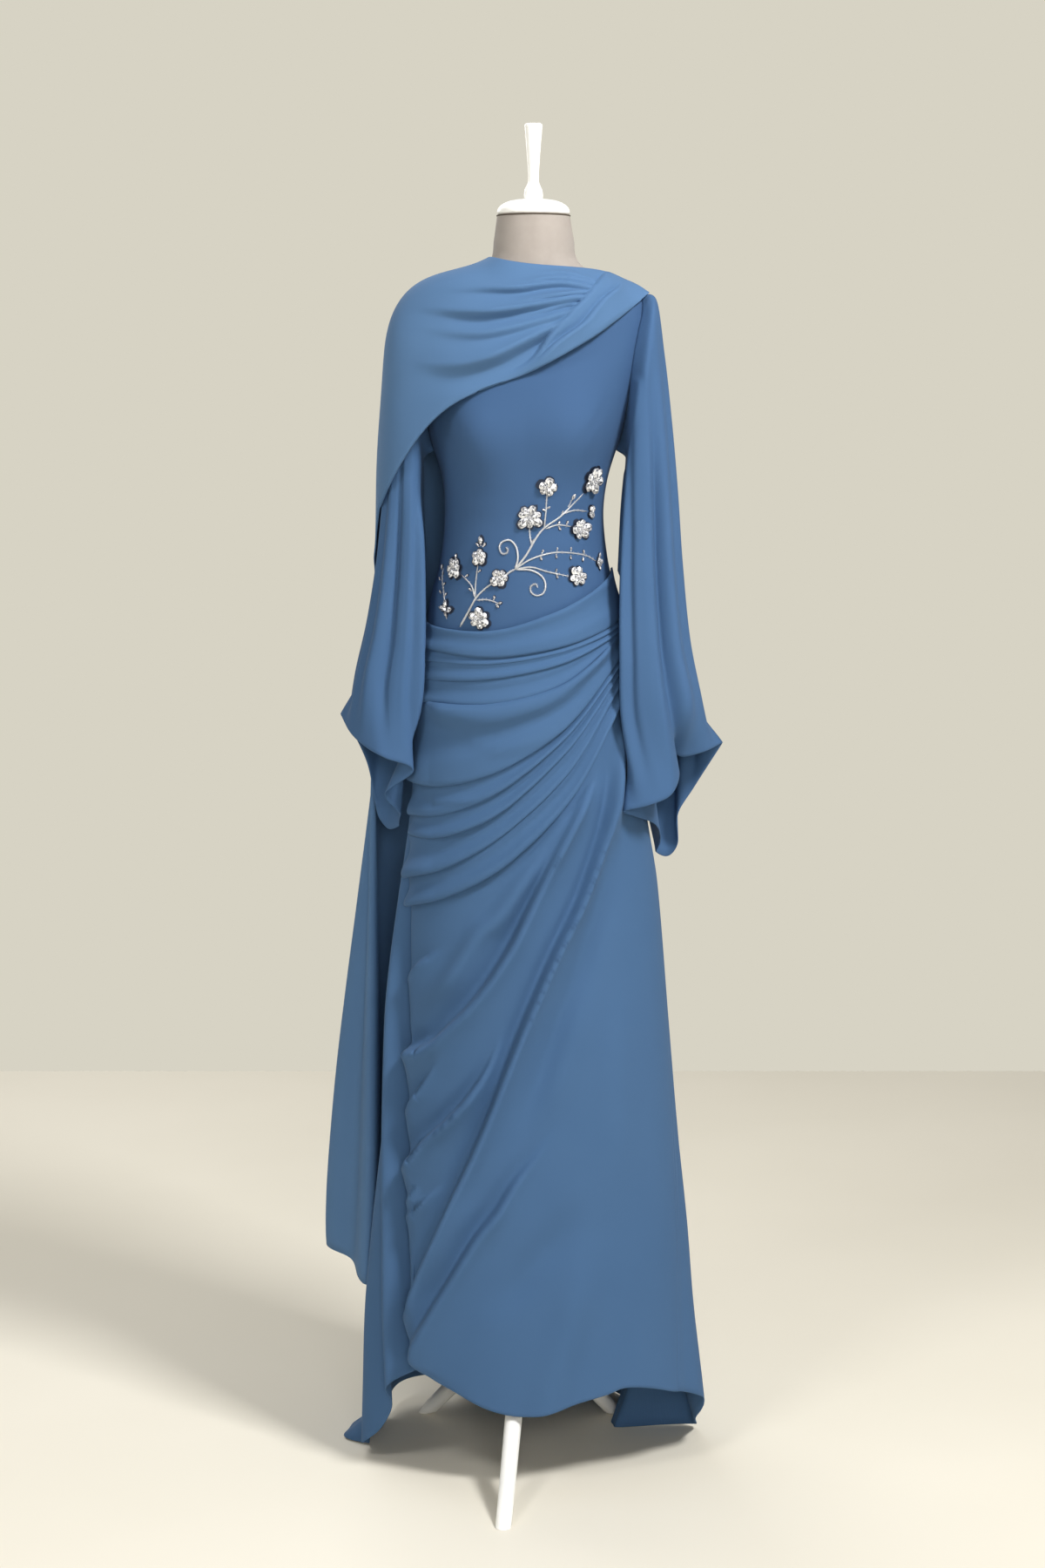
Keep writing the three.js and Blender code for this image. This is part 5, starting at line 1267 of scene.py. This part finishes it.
def crystal():
    finish = Finish("crystal", Roughness=0.07, Metallic=0.3, Coat_Weight=1.0, Coat_Roughness=0.03)
    # Painted glints and reflections: each facet's random brightness and a fine cloud pick a tone from near
    # black to white, in place of what the clear stone would reflect
    facet_glint = finish.node("ShaderNodeAttribute", {"attribute_name": "facet"}).outputs["Fac"]
    cloud = finish.noise(finish.coordinate("Object"), 240.0, 1.0)
    mixed = Shade(finish, facet_glint) * 0.7 + cloud * 0.45
    ramp = finish.node("ShaderNodeValToRGB", {"stops": [
        (0.2, (0.03, 0.035, 0.05)), (0.38, (0.16, 0.17, 0.2)), (0.55, (0.5, 0.5, 0.52)),
        (0.8, (0.93, 0.93, 0.94)), (1.0, (1, 1, 1))]}, {"Fac": mixed})
    finish.feed(Base_Color=ramp.outputs[0])
    finish.feed(Roughness=0.05 + 0.12 * cloud)
    return finish.material


def setting_tree():
    """Sets one kind of stone or stitch on each point, turned and sized by the point's own values."""
    tree = bpy.data.node_groups.new("set_stones", "GeometryNodeTree")
    sockets = {}
    for label, kind in (("Places", "Geometry"), ("Stone", "Object"), ("Size", "Float"), ("Uneven", "Float"),
                        ("Finish", "Material")):
        made = tree.interface.new_socket(label, in_out="INPUT", socket_type="NodeSocket" + kind)
        sockets[label] = made.identifier
    tree.interface.new_socket("Geometry", in_out="OUTPUT", socket_type="NodeSocketGeometry")
    new, link = tree.nodes.new, tree.links.new
    given, result = new("NodeGroupInput"), new("NodeGroupOutput")
    points, stone = new("GeometryNodeMeshToPoints"), new("GeometryNodeObjectInfo")
    lay = new("GeometryNodeInstanceOnPoints")
    turn, size = new("GeometryNodeInputNamedAttribute"), new("GeometryNodeInputNamedAttribute")
    for named, label in ((turn, "turn"), (size, "size")):
        named.data_type = "FLOAT_VECTOR"
        named.inputs["Name"].default_value = label
    uneven = new("FunctionNodeRandomValue")
    uneven.inputs["Seed"].default_value = 7
    less, more = new("ShaderNodeMath"), new("ShaderNodeMath")
    less.operation, more.operation = "SUBTRACT", "ADD"
    less.inputs[0].default_value = more.inputs[0].default_value = 1.0
    scaled, varied = new("ShaderNodeVectorMath"), new("ShaderNodeVectorMath")
    scaled.operation = varied.operation = "SCALE"
    real, finish = new("GeometryNodeRealizeInstances"), new("GeometryNodeSetMaterial")
    link(given.outputs["Places"], points.inputs["Mesh"])
    link(given.outputs["Stone"], stone.inputs["Object"])
    link(given.outputs["Uneven"], less.inputs[1])
    link(given.outputs["Uneven"], more.inputs[1])
    link(less.outputs[0], uneven.inputs[2])
    link(more.outputs[0], uneven.inputs[3])
    link(size.outputs["Attribute"], scaled.inputs[0])
    link(given.outputs["Size"], scaled.inputs["Scale"])
    link(scaled.outputs[0], varied.inputs[0])
    link(uneven.outputs[1], varied.inputs["Scale"])
    link(points.outputs[0], lay.inputs["Points"])
    link(stone.outputs["Geometry"], lay.inputs["Instance"])
    link(turn.outputs["Attribute"], lay.inputs["Rotation"])
    link(varied.outputs[0], lay.inputs["Scale"])
    link(lay.outputs[0], real.inputs[0])
    link(real.outputs[0], finish.inputs[0])
    link(given.outputs["Finish"], finish.inputs["Material"])
    link(finish.outputs[0], result.inputs[0])
    return tree, sockets


stone_tree, stone_sockets = setting_tree()


def set_stones(name, stone, places, material, uneven):
    """Stones at places, each given by its foot, the way it points, the way out, and its length or sizes."""
    mesh = bpy.data.meshes.new(name + "_places")
    mesh.from_pydata([tuple(np.asarray(foot) / 1000 + AXIS) for foot, *_ in places], [], [])
    turns, sizes = [], []
    for _, point, out, length in places:
        ahead = Vector(point).normalized()
        up = Vector(out)
        up = (up - ahead * up.dot(ahead)).normalized()
        turns.extend(Matrix((ahead.cross(up), ahead, up)).transposed().to_euler())
        sizes.extend([length / 1000] * 3 if np.isscalar(length) else [one / 1000 for one in length])
    for label, values in (("turn", turns), ("size", sizes)):
        attribute = mesh.attributes.new(label, "FLOAT_VECTOR", "POINT")
        attribute.data.foreach_set("vector", np.array(values, np.float32))
    carrier = keep(bpy.data.objects.new(name + "_places", mesh))
    setter = carrier.modifiers.new("stones", "NODES")
    setter.node_group = stone_tree
    for label, value in (("Stone", stone), ("Size", 1.0), ("Uneven", uneven), ("Finish", material)):
        setter[stone_sockets[label]] = value
    bpy.context.view_layer.update()
    solid = bpy.data.meshes.new_from_object(carrier.evaluated_get(bpy.context.evaluated_depsgraph_get()))
    solid.name = name
    bpy.data.objects.remove(carrier)
    made = keep(bpy.data.objects.new(name, solid))
    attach(made, "root")
    return made


# Dark metal under the stones: its colour is partly the metal's own and partly painted shadow, for the dark
# outline round each stone
def dark_setting():
    finish = Finish("dark_setting", Roughness=0.42, Metallic=0.6)
    cloud = finish.noise(finish.coordinate("Object"), 300.0, 2.0)
    finish.feed(Base_Color=finish.between(cloud, tone(24, 30, 46), tone(58, 68, 90)))
    finish.feed(Roughness=0.35 + 0.25 * cloud)
    return finish.material


glass, shadow_setting = crystal(), dark_setting()
petal_cut = [(0.0, 0.02), (0.2, 0.14), (0.4, 0.42), (0.44, 0.68), (0.3, 0.93), (0.08, 1.0), (-0.12, 1.03),
             (-0.34, 0.9), (-0.43, 0.64), (-0.38, 0.4), (-0.18, 0.15)]
petal_stone = gem("petal_stone", petal_cut, [(0, 0.3), (0.06, 0.55), (-0.05, 0.78)], 0.34, glass, 3)
leaf_cut = [(0, 0), (0.17, 0.2), (0.25, 0.48), (0.18, 0.78), (0, 1.0), (-0.18, 0.78), (-0.25, 0.48),
            (-0.17, 0.2)]
leaf_stone = gem("leaf_stone", leaf_cut, [(0, 0.32), (0, 0.68)], 0.3, glass, 5)
round_cut = [(0.5 * math.cos(a), 0.5 * math.sin(a))
             for a in np.linspace(0, 2 * math.pi, 10, endpoint=False)]
round_stone = gem("round_stone", round_cut, [(0.1, 0.05), (-0.12, 0.02)], 0.45, glass, 9)

# Each flower has an outer and an inner round of petals, a middle stone and three small ones round it
chance = np.random.default_rng(21)
petals, rounds, leaves, petal_settings, leaf_settings = [], [], [], [], []
for x, z, radius, count in FLOWERS:
    foot, out = on_bodice(x, z, 0.6)
    right = unit(np.cross([0, 0, 1.0], out))
    up = np.cross(out, right)
    first_turn = chance.random() * 6
    for layer_of, share, tilt, lift in ((count, 1.0, 0.14, 0.3), (max(count - 2, 3), 0.62, 0.5, 1.4)):
        for k in range(layer_of):
            a = first_turn + (k + 0.3 * chance.random() + 0.5 * lift) * 2 * math.pi / layer_of
            way = right * math.sin(a) + up * math.cos(a)
            lean = tilt + 0.22 * (chance.random() - 0.5)
            point = way * math.cos(lean) + out * math.sin(lean)
            width = min(1.15, 5.2 / count)
            long = radius * share * (0.86 + 0.32 * chance.random())
            petals.append((foot + way * radius * 0.06 + out * lift, point, out, (long * width, long, long)))
            if share == 1.0:
                # A dark setting under each outer petal, wider and longer than the stone so that its rim
                # shows as a painted shadow outline
                setting = (long * width * 1.24, long * 1.2, long * 0.12)
                petal_settings.append((foot - out * 0.3, way, out, setting))
    rounds.append((foot + out * 2.8, up, out, max(radius * 0.32, 3.0)))
    for k in range(3):
        a = first_turn + 0.4 + k * math.pi * 2 / 3
        way = right * math.sin(a) + up * math.cos(a)
        rounds.append((foot + way * radius * 0.27 + out * 2.6, up, out, max(radius * 0.16, 1.7)))
for x, z, heading, length in LEAVES:
    foot, out = on_bodice(x, z, 0.4)
    right = unit(np.cross([0, 0, 1.0], out))
    a = math.radians(heading)
    way = right * math.sin(a) + np.cross(out, right) * math.cos(a)
    leaves.append((foot - way * length * 0.3, way * 0.97 + out * 0.22, out, (length * 1.1, length, length)))
    # A dark setting under each leaf, much wider than the stone so that its rim shows as a painted shadow
    # outline
    setting = (length * 1.7, length * 1.25, length * 0.2)
    leaf_settings.append((foot - way * length * 0.42 - out * 0.3, way, out, setting))
    rounds.append((foot - way * length * 0.38 + out * 0.4, way, out, 1.9))
flowers = set_stones("flower_petals", petal_stone, petals, glass, 0.08)
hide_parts(*["flower_%d" % k for k in range(1, 13)])
set_stones("petal_settings", petal_stone, petal_settings, shadow_setting, 0.05)
set_stones("leaf_settings", leaf_stone, leaf_settings, shadow_setting, 0.05)
set_stones("round_stones", round_stone, rounds, glass, 0.1)
set_stones("leaf_stones", leaf_stone, leaves, glass, 0.08)

# A couching stitch: a thread's arch over the cord, as places across the cord and up, and its radius
ARCH = [(-1.9, -1.0), (-1.5, 0.15), (-0.7, 0.85), (0.7, 0.85), (1.5, 0.15), (1.9, -1.0)]
THREAD_RADIUS = 0.22
arch_rings = [[(THREAD_RADIUS * math.cos(a), y * (1 + 0.12 * math.sin(a)), z + THREAD_RADIUS * math.sin(a))
               for a in np.linspace(0, 2 * math.pi, 5, endpoint=False)] for y, z in ARCH]
arch_points, arch_faces = ring_mesh(arch_rings)
stitch_mesh = bpy.data.meshes.new("couching_stitch")
stitch_mesh.from_pydata(arch_points, [], arch_faces)
outward(stitch_mesh)
stitch_mesh.materials.append(thread)
stitch = bpy.data.objects.new("couching_stitch", stitch_mesh)
set_stones("couching_stitches", stitch, [(p, np.cross(n, r), n, 1.0) for p, r, n in couching], thread, 0.1)
